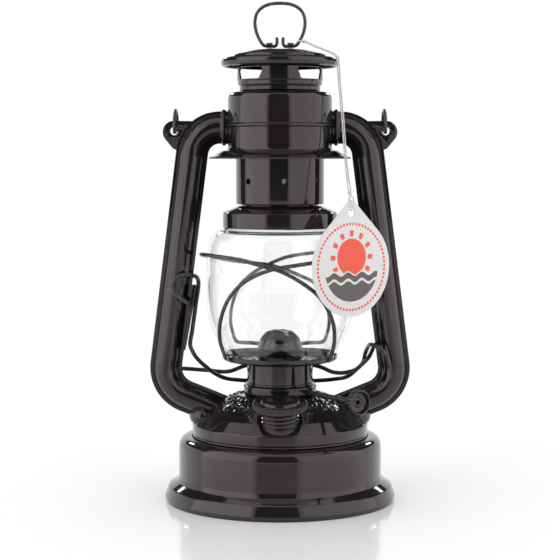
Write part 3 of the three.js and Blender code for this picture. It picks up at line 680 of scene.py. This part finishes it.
def boot_socket(name, side, paint):
    """The pressed swelling on the tank top that takes the tube, with a raised line along it."""
    bm = bmesh.new()
    bmesh.ops.create_uvsphere(bm, u_segments=64, v_segments=40, radius=1)
    for vertex in bm.verts:
        x, y, z = vertex.co
        ridge = 0.6 * exp(-((y / 0.09) ** 2)) * max(0, z)
        vertex.co = Vector((
            side * BOOT.x + x * (BOOT_SIZE.x + ridge * 0.5),
            y * BOOT_SIZE.y,
            BOOT.z + z * (BOOT_SIZE.z - 0.45 + ridge),
        ))
    low = BOOT.z - 5
    whole = bm.verts[:] + bm.edges[:] + bm.faces[:]
    bmesh.ops.bisect_plane(bm, geom=whole, plane_co=(0, 0, low), plane_no=(0, 0, 1), clear_inner=True)
    bmesh.ops.holes_fill(bm, edges=[e for e in bm.edges if e.is_boundary])
    solid_piece(f"{name}_boot", bm, paint, "frame", f"{name}_tube_boot")


def tube_ferrule(name, side, paint):
    """The oval collar where a tube enters the drum: a flange on the drum, then a rolled lip."""
    wide, high = 9.3, 10.6
    profile = [(28.4, 0.3), (29.2, 0.3), (29.6, -0.2), (30.2, -1.0), (31.0, -1.0)]
    profile += [(31.6, -0.3), (32.4, 0.0), (33.0, -0.3), (33.4, -1.0), (34.2, -1.2)]
    inner = [(34.2, -1.6), (28.4, -1.6)]
    bm = bmesh.new()
    rings = []
    for x, grow in profile + inner:
        ring = []
        for angle in turns(56):
            y, z = (wide + grow) * cos(angle), (high + grow) * sin(angle)
            ring.append(bm.verts.new((side * x, y, TUBE_ENTRY_Z + z)))
        rings.append(ring)
    for here, there in zip(rings, rings[1:] + rings[:1]):
        band(bm, here, there)
    solid_piece(f"{name}_collar_ring", bm, paint, "frame", f"{name}_ferrule")


# ---- air drum

def drum(paint):
    skirt, low, seam = span("drum_lower_shell")
    wall = 30
    lower = shell_line([
        [skirt, low], [37.2, low + 1.4, 3], [33.8, low + 3.6, 1.5], [wall + 0.4, low + 4.4, 0.5],
        [wall, low + 5.4, 0.5], [wall, seam],
    ])
    turned_piece("drum_lower", lower, 128, paint, "frame", "drum_lower_shell")

    _, low, top = span("drum_upper_shell")
    bead = wall + 1.2
    upper = shell_line([
        [wall, low], [bead, low + 0.3, 0.2], [bead, low + 1.3, 0.4], [wall, low + 2.1, 0.4],
        [wall, top, 4.4], [22.5, top],
    ])
    turned_piece("drum_upper", upper, 128, paint, "frame", "drum_upper_shell")


# ---- burner

WICK_AZIMUTH = 36
SHAFT_Z = 63.6
SHAFT_OFFSET = 5
wick_frame = Matrix.Rotation(-radians(90 - WICK_AZIMUTH), 4, "Z")
shaft_middle = wick_frame @ Matrix.Translation((0, SHAFT_OFFSET, SHAFT_Z))
shaft_frame = shaft_middle @ Matrix.Rotation(pi / 2, 4, "Y")


def box_mesh(name, low, high, place=None):
    bm = bmesh.new()
    bmesh.ops.create_cube(bm, size=1)
    for vertex in bm.verts:
        vertex.co = Vector([a + (b - a) * (c + 0.5) for a, b, c in zip(low, high, vertex.co)])
    return to_mesh(name, bm, place)


def rod_mesh(name, radius, start, end, place=None, sides=32):
    return turned(name, ((0, start), (radius, start), (radius, end), (0, end)), sides, place)


def burner(paint, steel, cotton):
    reach, low, high = span("burner_base_cup")
    cup = shell_line([
        [14.9, low], [reach - 0.4, low, 1.8], [reach, high - 0.2, 1.3], [19.6, high],
    ])
    hole = rod_mesh("hole", radius=1.9, start=10, end=40, place=shaft_frame)
    piece("burner_cup", cut(turned("burner_cup", cup, 128), hole), paint, "frame", "burner_base_cup")

    reach, low, high = span("burner_upper_cup")
    cup = shell_line([
        [reach, low], [reach, low + 0.8, 0.2], [reach - 0.35, low + 1.2, 0.2],
        [reach - 0.35, high - 1.4, 0.2], [reach, high - 1.0, 0.2], [reach - 1.0, high, 0.6],
        [12.6, high],
    ])
    turned_piece("burner_gallery", cup, 128, paint, "frame", "burner_upper_cup")

    reach, low, high = span("flame_dome")
    cup = shell_line([
        [reach, low], [reach, low + 1.0, 0.3], [reach - 0.4, low + 1.5, 0.3],
        [reach - 0.2, low + 7.5, 4], [reach - 1.6, low + 12.7, 4], [reach - 5.8, high - 1.3, 4],
        [0, high],
    ], 0.7)
    long, wide = 9.5, 2.5
    slot = box_mesh("slot", low=(-long, -wide, 90), high=(long, wide, 110), place=wick_frame)
    piece("flame_spreader", cut(turned("flame_spreader", cup, 96), slot), paint, "frame", "flame_dome")

    bevelled_piece("wick_holder", "wick_tube", 0.25, steel, "frame")
    wick_ribbon(cotton)


def wick_ribbon(cotton):
    """A flat woven wick: ribs along it, edges that thin out, and an uneven top."""
    width, thick, low, high = 7.5, 1.1, 13.5, 98.0
    bm = bmesh.new()
    columns, rows = 30, 120
    grids = []
    for face in (-1, 1):
        grid = []
        for j in range(rows + 1):
            z = low + (high - low) * j / rows
            row = []
            for i in range(columns + 1):
                u = -1 + 2 * i / columns
                rib = 0.12 * abs(sin(i * pi / 2)) + 0.06 * sin(z * 4 + i * pi)
                edge = 1 - 0.45 * abs(u) ** 10
                top = 0.35 * noise.noise(Vector((i * 0.9, 0, face))) if j == rows else 0
                row.append(bm.verts.new((u * width, face * (thick * edge - 0.15 + rib), z + top)))
            grid.append(row)
        grids.append(grid)
    back, front = grids
    for grid in grids:
        for j in range(rows):
            for i in range(columns):
                bm.faces.new((grid[j][i], grid[j][i + 1], grid[j + 1][i + 1], grid[j + 1][i]))
    for j in range(rows):
        for i in (0, columns):
            bm.faces.new((back[j][i], front[j][i], front[j + 1][i], back[j + 1][i]))
    for i in range(columns):
        for j in (0, rows):
            bm.faces.new((back[j][i], front[j][i], front[j][i + 1], back[j][i + 1]))
    solid_piece("wick_ribbon", bm, cotton, "wick", "wick", place=wick_frame)


def wick_winder(paint, steel, black_wire):
    knob_at = 63
    ridges, ridge_depth = 28, 0.22
    end = knob_at + 6.7
    spindle = [(0, -7), (1.2, -7), (1.4, -6.8), (1.4, end - 7.9)]
    spindle += [(1.4, end - 7.3), (1.2, end - 7), (0, end - 7)]
    turned_piece("winder_spindle", spindle, 32, black_wire, "wick_winder", "wick_shaft", shaft_frame)

    def knurl(r, z, angle):
        if r < 6.9:
            return r, z
        return r - ridge_depth * abs(sin(angle * ridges / 2)), z

    knob = rounded([
        [1.45, 0], [3.2, 0, 0.3], [3.7, 1.2, 0.5], [6.6, 1.5, 0.5], [7.15, 2.0, 0.4], [7.2, 2.6],
        [7.2, 4.8], [7.1, 5.3, 0.2], [6.6, 5.6, 0.3], [6.2, 5.3, 0.3], [5.4, 3.0, 1.0],
        [3.0, 2.6, 0.6], [2.4, 3.1, 0.3], [1.45, 3.2],
    ], 4)
    place = shaft_frame @ Matrix.Translation((0, 0, knob_at))
    turned_piece("winder_knob", knob, 168, paint, "wick_winder", "wick_knob", place, knurl)
    for name in ("inner", "outer"):
        bevelled_piece(f"{name}_sprocket", f"wick_sprocket_{name}", 0.15, steel, "wick_winder")


# ---- globe, its plate and its wires

def perforated_ring(bm, inner, outer, z, rows, hole):
    """A flat ring of cells, each with a round hole, to be thickened afterwards."""
    depth = (outer - inner) / rows
    for row in range(rows):
        near, far = inner + row * depth, inner + (row + 1) * depth
        middle = (near + far) / 2
        count = 60
        shift = 0.5 * (row % 2)
        for i in range(count):
            a0, a1 = TURN * (i + shift) / count, TURN * (i + 1 + shift) / count
            am = (a0 + a1) / 2
            border = [(near, a0), (near, am), (near, a1), (middle, a1)]
            border += [(far, a1), (far, am), (far, a0), (middle, a0)]
            rim = [bm.verts.new((*polar(r, a), z)) for r, a in border]
            centre = Vector((*polar(middle, am), z))
            eye = []
            for vertex in rim:
                out = (vertex.co - centre).normalized()
                eye.append(bm.verts.new(centre + out * hole))
            band(bm, rim, eye)


def globe_plate(paint):
    reach, low, high = span("globe_plate")
    floor = low + 0.9
    rim = rounded([
        [29.5, low], [reach - 1.6, low, 0.2], [reach - 0.3, low + 0.9, 0.5],
        [reach, low + 1.8, 0.4], [reach, high - 0.3, 0.15], [reach - 0.4, high, 0.2],
        [reach - 0.8, high - 0.3, 0.15], [reach - 1.1, floor + 0.4, 0.4], [reach - 1.6, floor],
        [29.5, floor],
    ], 4)
    bm = turned_bm(rim, 120)
    for inner, outer in ((14.2, 16.5), (27.3, 29.7)):
        under, over = low + 0.1, floor - 0.1
        join(bm, turned_bm(((inner, under), (outer, under), (outer, over), (inner, over)), 120))
    solid_piece("plate_rim", bm, paint, "globe_lift", "globe_plate")

    bm = bmesh.new()
    perforated_ring(bm, inner=16.4, outer=27.4, z=floor - 0.2, rows=5, hole=0.62)
    bmesh.ops.remove_doubles(bm, verts=bm.verts, dist=0.02)
    mesh = modified(to_mesh("plate_grid", bm), ("SOLIDIFY", {"thickness": 0.5 * MM, "offset": -1}))
    piece("plate_grid", sharpened(mesh), paint, "globe_lift")


def globe(glass):
    _, low, high = span("globe")
    widest = 42.4
    outer = catmull([
        [30, low, 0], [33.2, 86, 0], [36.7, 93.5, 0], [widest - 1.9, 101.5, 0],
        [widest - 0.3, 112, 0], [widest, 128, 0], [widest - 0.5, 143, 0], [widest - 2.3, 151.5, 0],
        [36.6, 156, 0], [32.6, 157.2, 0], [30.3, 158.4, 0], [29.8, 160.8, 0], [29.8, high, 0],
    ], 1.0)
    outer = [Vector((p.x, p.y)) for p in outer]
    wall = 1.3
    inner = offset(outer, wall)
    foot = [outer[0] + Vector((-0.25, 0)), outer[0] + Vector((-wall + 0.25, 0))]
    line = outer + inner[::-1] + foot[::-1]
    turned_piece("glass_globe", line, 144, glass, "globe_lift", "globe")


GUARD_FIRST = (
    (36.4, -58, 84), (40.2, -58, 94.5), (43.6, -50, 107), (44.9, -39, 120), (45.8, -24.5, 130),
    (46.2, -8, 136), (46.2, 18, 139.6), (46.2, 50, 142), (46.2, 90, 143), (46.2, 130, 142),
    (46.2, 155, 140.5), (46.2, 175, 137.7), (46.2, 187, 134), (46, 199, 129.4), (45.7, 212, 122),
    (45.2, 221, 109.5), (44.6, 223, 96), (43.4, 220, 88.2),
)
GUARD_CHORD = ((-18, 36.4, 86.6), (18, 36.4, 86.6))
GUARD_SECOND = (
    (43.4, 140, 88.2), (44.6, 137, 96), (44.4, 139, 109.5), (44.1, 149, 121.5),
    (43.8, 163.5, 126.7), (43.8, 177, 130.6), (43.8, 189, 133.2), (43.8, 203, 134.6),
    (44.4, 220, 136.2), (45.4, 245, 139.6), (45.8, 270, 142.2), (45, 305, 142.9),
    (43.8, 330, 141.4), (43.8, 346, 138.6), (43.8, 360, 135.6), (43.8, 376, 129), (43.8, 391, 120),
    (43.5, 402.5, 107), (40.2, 410, 95), (36.4, 412, 84),
)
CROSSBAR = (
    (-66, 11.2, 74), (-57.4, 15, 73.6), (-44, 15.5, 72.6), (-30.8, 15.5, 71.8), (-20, 17, 75.2),
    (0, 23, 77.5), (23, 17, 74.6), (31.7, 15, 71.4), (38.5, 15, 71.2), (45.3, 15, 73.3),
    (49, 14, 77.5), (50.2, 11.5, 83), (51.6, 4, 88.3), (53, -6.5, 90.4), (57, -10.6, 89),
    (61, -11.2, 85), (63, -11.2, 79),
)
LIFT_WIRE = (
    (-53, -11, 115), (-56.5, -11.2, 117.5), (-61.2, -11.2, 122.5), (-60.5, -11.2, 128.6),
    (-55.6, -10.6, 131), (-49.6, -7.6, 130.4), (-47.3, 0, 126.5), (-49, 0, 112), (-51, 0, 98),
    (-52.2, 0.2, 89.5), (-50.7, 1, 85.2), (-48.8, 2.6, 81.8), (-42.4, 7.6, 74.8), (-34.3, 12, 69),
    (-23.4, 20.6, 65.9), (0, 27, 64.6), (23, 24, 65.2), (33.6, 19, 66.9), (40.3, 12, 69.6),
    (46.8, 9.4, 75.6), (52.2, 10, 81), (56, 12, 88), (60, 12, 91), (63, 12, 88),
)


def globe_wires(black_wire):
    front = [around(*p) for p in GUARD_FIRST]
    back = [around(*p) for p in GUARD_SECOND]
    guard = front + list(GUARD_CHORD) + back
    wires = (
        ("guard_wire", guard, WIRE, "globe_guard_wire"),
        ("crossbar_wire", CROSSBAR, WIRE + 0.1, "lift_crossbar"),
        ("lever_wire", LIFT_WIRE, WIRE + 0.1, "lift_wire"),
    )
    for name, points, radius, node in wires:
        piece(name, wire(name, points, radius), black_wire, "globe_lift", node)


def lever_channel(paint):
    """The channel gets shallower towards its foot, so that the wire stands out of it."""
    mesh = bevelled_copy("lever_guide", 0.2)
    foot, length = 87, 38
    foot_depth, added_depth, full_from = 0.15, 0.4, 0.45
    inner_edge = min(vertex.co.x - TUBE_SPLAY * vertex.co.z for vertex in mesh.vertices)
    for vertex in mesh.vertices:
        edge = inner_edge + TUBE_SPLAY * vertex.co.z
        rise = (vertex.co.z / MM - foot) / length
        shrink = foot_depth + added_depth * smooth(0, full_from, rise)
        vertex.co.x = edge + (vertex.co.x - edge) * shrink
    piece("lever_channel", mesh, paint, "frame", "lever_guide")


# ---- chimney

def chimney(paint, steel):
    reach, low, high = span("globe_collar")
    collar = shell_line([
        [reach, low], [reach, low + 8.8, 1.2], [24.2, low + 12.3, 0.8], [21.9, low + 12.6, 0.2],
        [21.9, high],
    ], 0.7)
    turned_piece("chimney_collar", collar, 128, paint, "chimney", "globe_collar")

    reach, low, high = span("chimney_sleeve")
    sleeve = shell_line([
        [reach - 0.3, low], [reach, low + 0.5, 0.2], [reach, low + 3.5], [reach, high],
    ])
    holes, hole_z, hole_radius = 7, 184.6, 1.75
    first = radians(6.3)
    drills = []
    for i in range(holes):
        turn = Matrix.Rotation(first + TURN * i / holes, 4, "Z")
        out = turn @ Matrix.Translation((0, 0, hole_z)) @ Matrix.Rotation(pi / 2, 4, "X")
        drills.append(rod_mesh("drill", hole_radius, start=20, end=30, place=out, sides=20))
    piece("air_sleeve", cut(turned("air_sleeve", sleeve, 140), *drills), paint, "chimney", "chimney_sleeve")

    reach, low, high = span("chimney_tube")
    inner, middle = reach - 0.7, reach - 0.35
    flue = [(inner, low + 0.2), (middle, low), (reach, low + 0.2)]
    flue += [(reach, high - 0.2), (middle, high), (inner, high - 0.2)]
    turned_piece("flue_tube", flue, 96, steel, "chimney", "chimney_tube")

    reach, low, high = span("spring_seat")
    seat = [(21.9, low), (reach - 0.2, low), (reach, low + 0.3)]
    seat += [(reach, high - 0.2), (reach - 0.3, high), (21.9, high)]
    turned_piece("seat_ring", seat, 96, steel, "chimney", "spring_seat")

    rounds, per_round = 4, 48
    coil, coil_low, coil_high = 25.2, 211.9, 233.7
    helix = []
    for i in range(rounds * per_round + 1):
        angle = TURN * i / per_round
        z = coil_low + (coil_high - coil_low) * i / (rounds * per_round)
        helix.append(Vector((*polar(coil, angle), z)))
    bm = swept_bm(helix, circle(0.8, 10), rounded_ends=True)
    spring = solid_piece("hood_spring", bm, steel, "frame", "chimney_spring")
    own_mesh(spring)


def vent_cage(paint):
    """Two beaded rings below, then a band with four windows that taper and have round corners."""
    reach, low, high = span("vent_cage")
    window_low, window_high = 242.6, 249.3
    half, fillet, rise = radians(24.5), radians(4), 1.8
    foot_width = 0.86
    aside = 48.5
    inside, outside = 18, 30
    line = shell_line([
        [22.2, low], [23.2, low + 0.5, 0.4], [23.2, low + 2.5, 0.4], [22.8, low + 3.0, 0.2],
        [24.2, low + 3.5, 0.4], [24.2, low + 5.7, 0.4], [reach, low + 6.3, 0.3], [reach, high],
    ])
    mesh = turned("hood_cage", line, 144)
    tools = []
    for middle in (90 - aside, 90 + aside, 270 - aside, 270 + aside):
        centre = radians(middle)
        bm = bmesh.new()
        outline = []
        for corner_a, corner_z, start in ((1, 1, 0), (-1, 1, 1), (-1, -1, 2), (1, -1, 3)):
            taper = 1 if corner_z > 0 else foot_width
            corner_at = window_high - rise if corner_z > 0 else window_low + rise
            for step in range(5):
                angle = (start + step / 4) * pi / 2
                a = centre + corner_a * (half * taper - fillet) + fillet * cos(angle)
                outline.append((a, corner_at + rise * sin(angle)))
        near, far = ([bm.verts.new((*polar(r, a), z)) for a, z in outline] for r in (inside, outside))
        band(bm, near, far)
        bm.faces.new(near)
        bm.faces.new(far)
        tools.append(to_mesh("window", bm))
    piece("hood_cage", cut(mesh, *tools), paint, "chimney", "vent_cage")


def hood(paint):
    reach, low, high = span("hood_cap")
    line = shell_line([
        [reach - 1.8, low], [reach - 0.4, low + 0.7, 0.6], [reach, low + 2.6, 1.2],
        [reach - 0.7, low + 4.5, 0.8], [reach - 2.7, low + 5.3, 0.8], [26.8, low + 5.6, 0.4],
        [26.2, low + 7.2, 0.6], [16.5, low + 9.5, 6], [0, high],
    ], 0.7)
    turned_piece("hood", line, 144, paint, "chimney", "hood_cap")


RING_RIGHT = (
    (1.8, 0, 266.4), (1.85, 0, 262.9), (2.9, 0, 261.7), (5, 0, 261.7), (7.6, 0, 261.7),
    (9.4, 0, 262.3), (11.4, 0, 265), (13.6, 0, 270), (14.3, 0, 276), (12.6, 0, 281.4),
    (7.6, 0, 285), (0, 0, 286.05),
)
BAIL_PIVOT_Z = 218.8


def handles(black_wire, paint):
    left = [(-x, y, z) for x, y, z in RING_RIGHT[:-1]]
    line = list(RING_RIGHT) + left[::-1]
    mesh = wire("ring_wire", line, HANDLE_WIRE, 0.7)
    piece("ring_wire", mesh, black_wire, "ring", "ring_handle")
    for name, _ in SIDES:
        bevelled_piece(f"{name}_saddle", f"ring_strap_{name}", 0.18, paint, "chimney")

    lug_x, eye, reach, eye_turn, helix = 60.7, 6.3, 88, 322, 1.4
    leg_z = BAIL_PIVOT_Z - eye
    eye_steps, bow_steps, bow_start = 40, 36, 10
    right = []
    for i in range(eye_steps + 1):
        angle = radians(270 - eye_turn * (eye_steps - i) / eye_steps)
        inwards = helix * (eye_steps - i) / eye_steps
        right.append(Vector((lug_x - inwards, eye * cos(angle), BAIL_PIVOT_Z + eye * sin(angle))))
    for i in range(bow_steps + 1):
        angle = pi / 2 * i / bow_steps
        y = bow_start + (reach - bow_start) * sin(angle)
        right.append(Vector((lug_x * cos(angle), y, leg_z)))
    left = [Vector((-p.x, p.y, p.z)) for p in right[:-1]]
    line = respaced(right + left[::-1], 1.0)
    bm = swept_bm(line, circle(HANDLE_WIRE), rounded_ends=True)
    solid_piece("bail_wire", bm, black_wire, "bail", "bail_handle")


# ---- hang tag and its string

TAG = Vector((39.9, -29.6, 137))
TAG_RADIUS = 28
TAG_APEX = 37.4
TAG_HALF = 0.4
TAG_HOLE_RISE = 30.5
TAG_HOLE = 2.4
TAG_TURN = 0.28  # radians away from facing straight outwards
TAG_FACING = atan2(TAG.x, -TAG.y) - TAG_TURN
tag_middle = Matrix.Translation(TAG) @ Matrix.Rotation(TAG_FACING, 4, "Z")
tag_frame = tag_middle @ Matrix.Rotation(pi / 2, 4, "X")
TAG_ACROSS = Vector((cos(TAG_FACING), sin(TAG_FACING), 0))


def tag_outline():
    top_radius = 3.4
    top_centre = TAG_APEX - top_radius
    swing = acos((TAG_RADIUS - top_radius) / top_centre)
    points = []
    for i in range(17):
        angle = pi / 2 - swing + 2 * swing * i / 16
        x, y = polar(top_radius, angle)
        points.append((x, top_centre + y))
    for i in range(1, 120):
        angle = pi / 2 + swing + (TURN - 2 * swing) * i / 120
        points.append(polar(TAG_RADIUS, angle))
    return points


def tag_mesh(name):
    """The card: a drop-shaped sheet with a punched hole and softly rounded edges."""
    curve = bpy.data.curves.new(name, "CURVE")
    curve.dimensions = "2D"
    curve.fill_mode = "BOTH"
    curve.extrude = TAG_HALF - 0.12
    curve.bevel_depth = 0.12
    curve.bevel_resolution = 2
    curve.offset = -0.12
    hole = [(x, TAG_HOLE_RISE + y) for x, y in circle(TAG_HOLE, 32)]
    for outline in (tag_outline(), hole):
        spline = curve.splines.new("POLY")
        spline.points.add(len(outline) - 1)
        for point, (x, y) in zip(spline.points, outline):
            point.co = (x, y, 0, 1)
        spline.use_cyclic_u = True
    obj = in_scene(name, curve)
    bpy.context.view_layer.update()
    flat = bpy.data.meshes.new_from_object(obj.evaluated_get(bpy.context.evaluated_depsgraph_get()))
    bpy.data.objects.remove(obj)
    bm = bmesh.new()
    bm.from_mesh(flat)
    return to_mesh(name, bm, tag_frame)


def tag_material():
    """White card with a printed ring of red dots and a red sun over grey waves."""
    mat, tree, shader = material("tag_card", (0.76, 0.76, 0.75), 0.42)
    links = tree.links

    def scalar(operation, a, b=0):
        node = tree.nodes.new("ShaderNodeMath")
        node.operation = operation
        for socket, value in zip(node.inputs, (a, b)):
            if isinstance(value, (int, float)):
                socket.default_value = value
            else:
                links.new(value, socket)
        return node.outputs[0]

    def minus(a, b):
        return scalar("SUBTRACT", a, b)

    def times(a, b):
        return scalar("MULTIPLY", a, b)

    def apart(a, b):
        """The length of a line that spans a across and b up."""
        return scalar("SQRT", scalar("ADD", times(a, a), times(b, b)))

    def along(direction):
        """Distance from the card's middle along a direction, in millimetres."""
        shift = tree.nodes.new("ShaderNodeVectorMath")
        shift.operation = "SUBTRACT"
        links.new(place_of(tree), shift.inputs[0])
        shift.inputs[1].default_value = TAG * MM
        dot = tree.nodes.new("ShaderNodeVectorMath")
        dot.operation = "DOT_PRODUCT"
        links.new(shift.outputs[0], dot.inputs[0])
        dot.inputs[1].default_value = Vector(direction) / MM
        return dot.outputs["Value"]

    u = along(TAG_ACROSS)
    v = along((0, 0, 1))

    def within(value, limit, blur=0.12):
        """1 where value is under limit, 0 over it."""
        node = tree.nodes.new("ShaderNodeMapRange")
        links.new(value, node.inputs["Value"])
        preset(node, From_Min=limit - blur, From_Max=limit + blur, To_Min=1, To_Max=0)
        return node.outputs["Result"]

    radius = apart(u, v)
    angle = scalar("ARCTAN2", v, u)
    pitch, ring = TURN / 66, 24.2
    beside = minus(angle, times(scalar("ROUND", scalar("DIVIDE", angle, pitch)), pitch))
    dots = within(apart(minus(radius, ring), times(beside, ring)), 0.82, 0.15)

    over = minus(v, 5.5)
    from_sun = apart(u, over)
    beat = scalar("COSINE", times(scalar("ARCTAN2", over, u), 12))
    spokes = within(times(beat, -1), -0.35, 0.2)
    rays = times(within(scalar("ABSOLUTE", minus(from_sun, 13.4)), 1.7), spokes)
    level = scalar("ADD", v, times(scalar("SINE", times(u, 0.62)), 1.1))
    above_sea = minus(1, within(level, -3.2))
    gap = within(scalar("ABSOLUTE", scalar("ADD", level, 8.2)), 0.75)
    grey = times(times(within(level, -4.0), within(radius, 19.5)), minus(1, gap))
    red = times(scalar("MAXIMUM", within(from_sun, 10.5), rays), above_sea)
    red = scalar("MAXIMUM", red, dots)

    paper = noise_map(tree, 900, 5, 0.7)
    base = ramp(tree, paper, (0.35, (0.70, 0.70, 0.69)), (0.65, (0.80, 0.80, 0.79)))
    for mask, ink in ((red, (0.90, 0.095, 0.055)), (grey, (0.115, 0.098, 0.098))):
        mix = tree.nodes.new("ShaderNodeMix")
        mix.data_type = "RGBA"
        links.new(mask, mix.inputs["Factor"])
        links.new(base, mix.inputs[6])
        mix.inputs[7].default_value = (*ink, 1)
        base = mix.outputs[2]
    links.new(base, shader.inputs["Base Color"])
    bump(tree, shader, paper, 0.00003, 0.4)
    return mat


def string_route():
    """The thread's centre line, the same points as the solid it stands for."""
    down = [
        (14.4, -1.6, 264.2), (20, -4.4, 261.6), (26, -8, 258.9), (30, -10.7, 257),
        (32.5, -12.4, 254.4), (33, -13, 250.5), (33.7, -13.9, 240), (35.3, -15.6, 222),
        (36.9, -19.4, 199.5), (38, -24.4, 187.5), (39.1, -28, 179),
    ]
    between = 0.5
    first = [Vector((x - between, y - 0.35, z)) for x, y, z in down]
    second = [Vector((x + between, y + 0.35, z)) for x, y, z in down]

    def by_tag(out, z):
        return Vector((TAG.x + out * sin(TAG_FACING), TAG.y - out * cos(TAG_FACING), z))

    bend = 1.9
    lowest = TAG.z + TAG_HOLE_RISE + TAG_HOLE - 0.6 - STRING_RADIUS
    loop = [
        by_tag(bend, lowest + 6),
        by_tag(bend, lowest + bend),
        by_tag(0.7 * bend, lowest + 0.3 * bend),
        by_tag(0, lowest),
        by_tag(-0.7 * bend, lowest + 0.3 * bend),
        by_tag(-bend, lowest + bend),
        by_tag(-bend, lowest + 6),
    ]
    return catmull(first + loop + second[::-1], 0.45)


def tag_string(thread):
    route = string_route()
    strand = []
    for angle in turns(14):
        strand.append(polar(STRING_RADIUS * (0.84 + 0.16 * abs(cos(angle))), angle))
    length = sum((b - a).length for a, b in zip(route, route[1:]))
    lay = 3.2  # length of one turn of the strands
    twist = TURN * length / lay
    bm = swept_bm(route, strand, twist=twist, rounded_ends=True)
    cord = solid_piece("tag_thread", bm, thread, "chimney", "tag_string")

    loop_x, loop_z = 11.35, 264.6
    loop = [
        Vector((loop_x + 1.5 * cos(a), 1.45 * sin(a), loop_z + 0.35 * cos(a)))
        for a in turns(24)
    ]
    knot = swept_bm(respaced(loop + loop[:1], 0.35), circle(STRING_RADIUS, 12), rounded_ends=True)
    lumps = (((13.6, -1.3, 264.5), (1.1, 1.0, 0.9)), ((39.1, -28, 178.6), (1.15, 1.0, 1.3)))
    for middle, size in lumps:
        lump = bmesh.new()
        bmesh.ops.create_uvsphere(lump, u_segments=24, v_segments=16, radius=1)
        for vertex in lump.verts:
            x, y, z = vertex.co
            wrap = 1 + 0.12 * sin(5 * atan2(y, x) + 4 * z)
            vertex.co = Vector(middle) + Vector((size[0] * x, size[1] * y, size[2] * z)) * wrap
        join(knot, lump)
    knot_piece = solid_piece("tag_knot", knot, thread, "chimney")
    return cord, knot_piece, route, length


def hang_tag(card):
    tag = piece("tag", tag_mesh("tag"), card, "chimney", "hang_tag")


# ---- studio

def emitter(name, corners, strength):
    """A flat glowing card that shows only in reflections and as light."""
    mesh = bpy.data.meshes.new(name)
    mesh.from_pydata([Vector(c) for c in corners], [], [(0, 1, 2, 3)])
    obj = in_scene(name, mesh)
    mat = bpy.data.materials.new(name)
    mat.use_nodes = True
    tree = mat.node_tree
    tree.nodes.clear()
    out = tree.nodes.new("ShaderNodeOutputMaterial")
    glow = tree.nodes.new("ShaderNodeEmission")
    preset(glow, Strength=strength)
    tree.links.new(glow.outputs[0], out.inputs["Surface"])
    mesh.materials.append(mat)
    obj.visible_camera = False
    obj.visible_shadow = False
    return obj


def upright_card(name, azimuth, distance, width, low, high, strength):
    """A card that stands at an azimuth from the front towards the right and faces the lantern."""
    middle = around(distance, azimuth, 0)
    across = around(width / 2, azimuth + 90, 0)
    corners = [
        middle - across + Vector((0, 0, low)),
        middle + across + Vector((0, 0, low)),
        middle + across + Vector((0, 0, high)),
        middle - across + Vector((0, 0, high)),
    ]
    return emitter(name, corners, strength)


def studio():
    bpy.context.scene.view_settings.view_transform = "Standard"
    world = bpy.data.worlds.new("studio")
    bpy.context.scene.world = world
    world.use_nodes = True
    preset(world.node_tree.nodes["Background"], Color=(1, 1, 1, 1), Strength=1.0)

    mesh = bpy.data.meshes.new("floor")
    half = 3
    corners = [(-half, -half, 0), (half, -half, 0), (half, half, 0), (-half, half, 0)]
    mesh.from_pydata(corners, [], [(0, 1, 2, 3)])
    floor = in_scene("floor", mesh)
    mat, _, shader = material("pale_floor", (0.97, 0.97, 0.97), 0.12)
    preset(shader, Specular_IOR_Level=0.5)
    mesh.materials.append(mat)

    upright_card("left_softbox", -63, distance=1.1, width=1.45, low=0.02, high=1.6, strength=1.9)
    upright_card("right_softbox", 67, distance=1.1, width=2.0, low=0.02, high=1.6, strength=1.45)
    upright_card("front_flag", -3, distance=1.5, width=1.25, low=0.1, high=2.2, strength=0.05)
    corners = [(-2, 0.35, 1.0), (2, 0.35, 1.0), (2, 2.9, 1.0), (-2, 2.9, 1.0)]
    roof = emitter("rear_roof_flag", corners, strength=0.04)
    roof.visible_diffuse = False
    for name, azimuth in (("left_glint_lamp", -154), ("right_glint_lamp", 154)):
        lamp = upright_card(name, azimuth, distance=1.67, width=0.3, low=0.74, high=0.96, strength=14)
        lamp.visible_diffuse = False
        lamp.visible_transmission = False


# ---- assembly

make_camera()
paint = enamel_material()
black_wire = wire_material()
steel = steel_material()
thread = cotton_material("tag_string", (0.74, 0.73, 0.70), 1500)
cord_parts = tag_string(thread)
hang_tag(tag_material())
tank_skirt(paint)
tank_dome(paint)
filler(paint, rubber_material())
side_tubes(paint)
drum(paint)
burner(paint, steel, cotton_material("wick_cotton", (0.80, 0.74, 0.60), 900))
wick_winder(paint, steel, black_wire)
globe_plate(paint)
globe(glass_material())
globe_wires(black_wire)
lever_channel(paint)
chimney(paint, steel)
vent_cage(paint)
hood(paint)
handles(black_wire, paint)
studio()
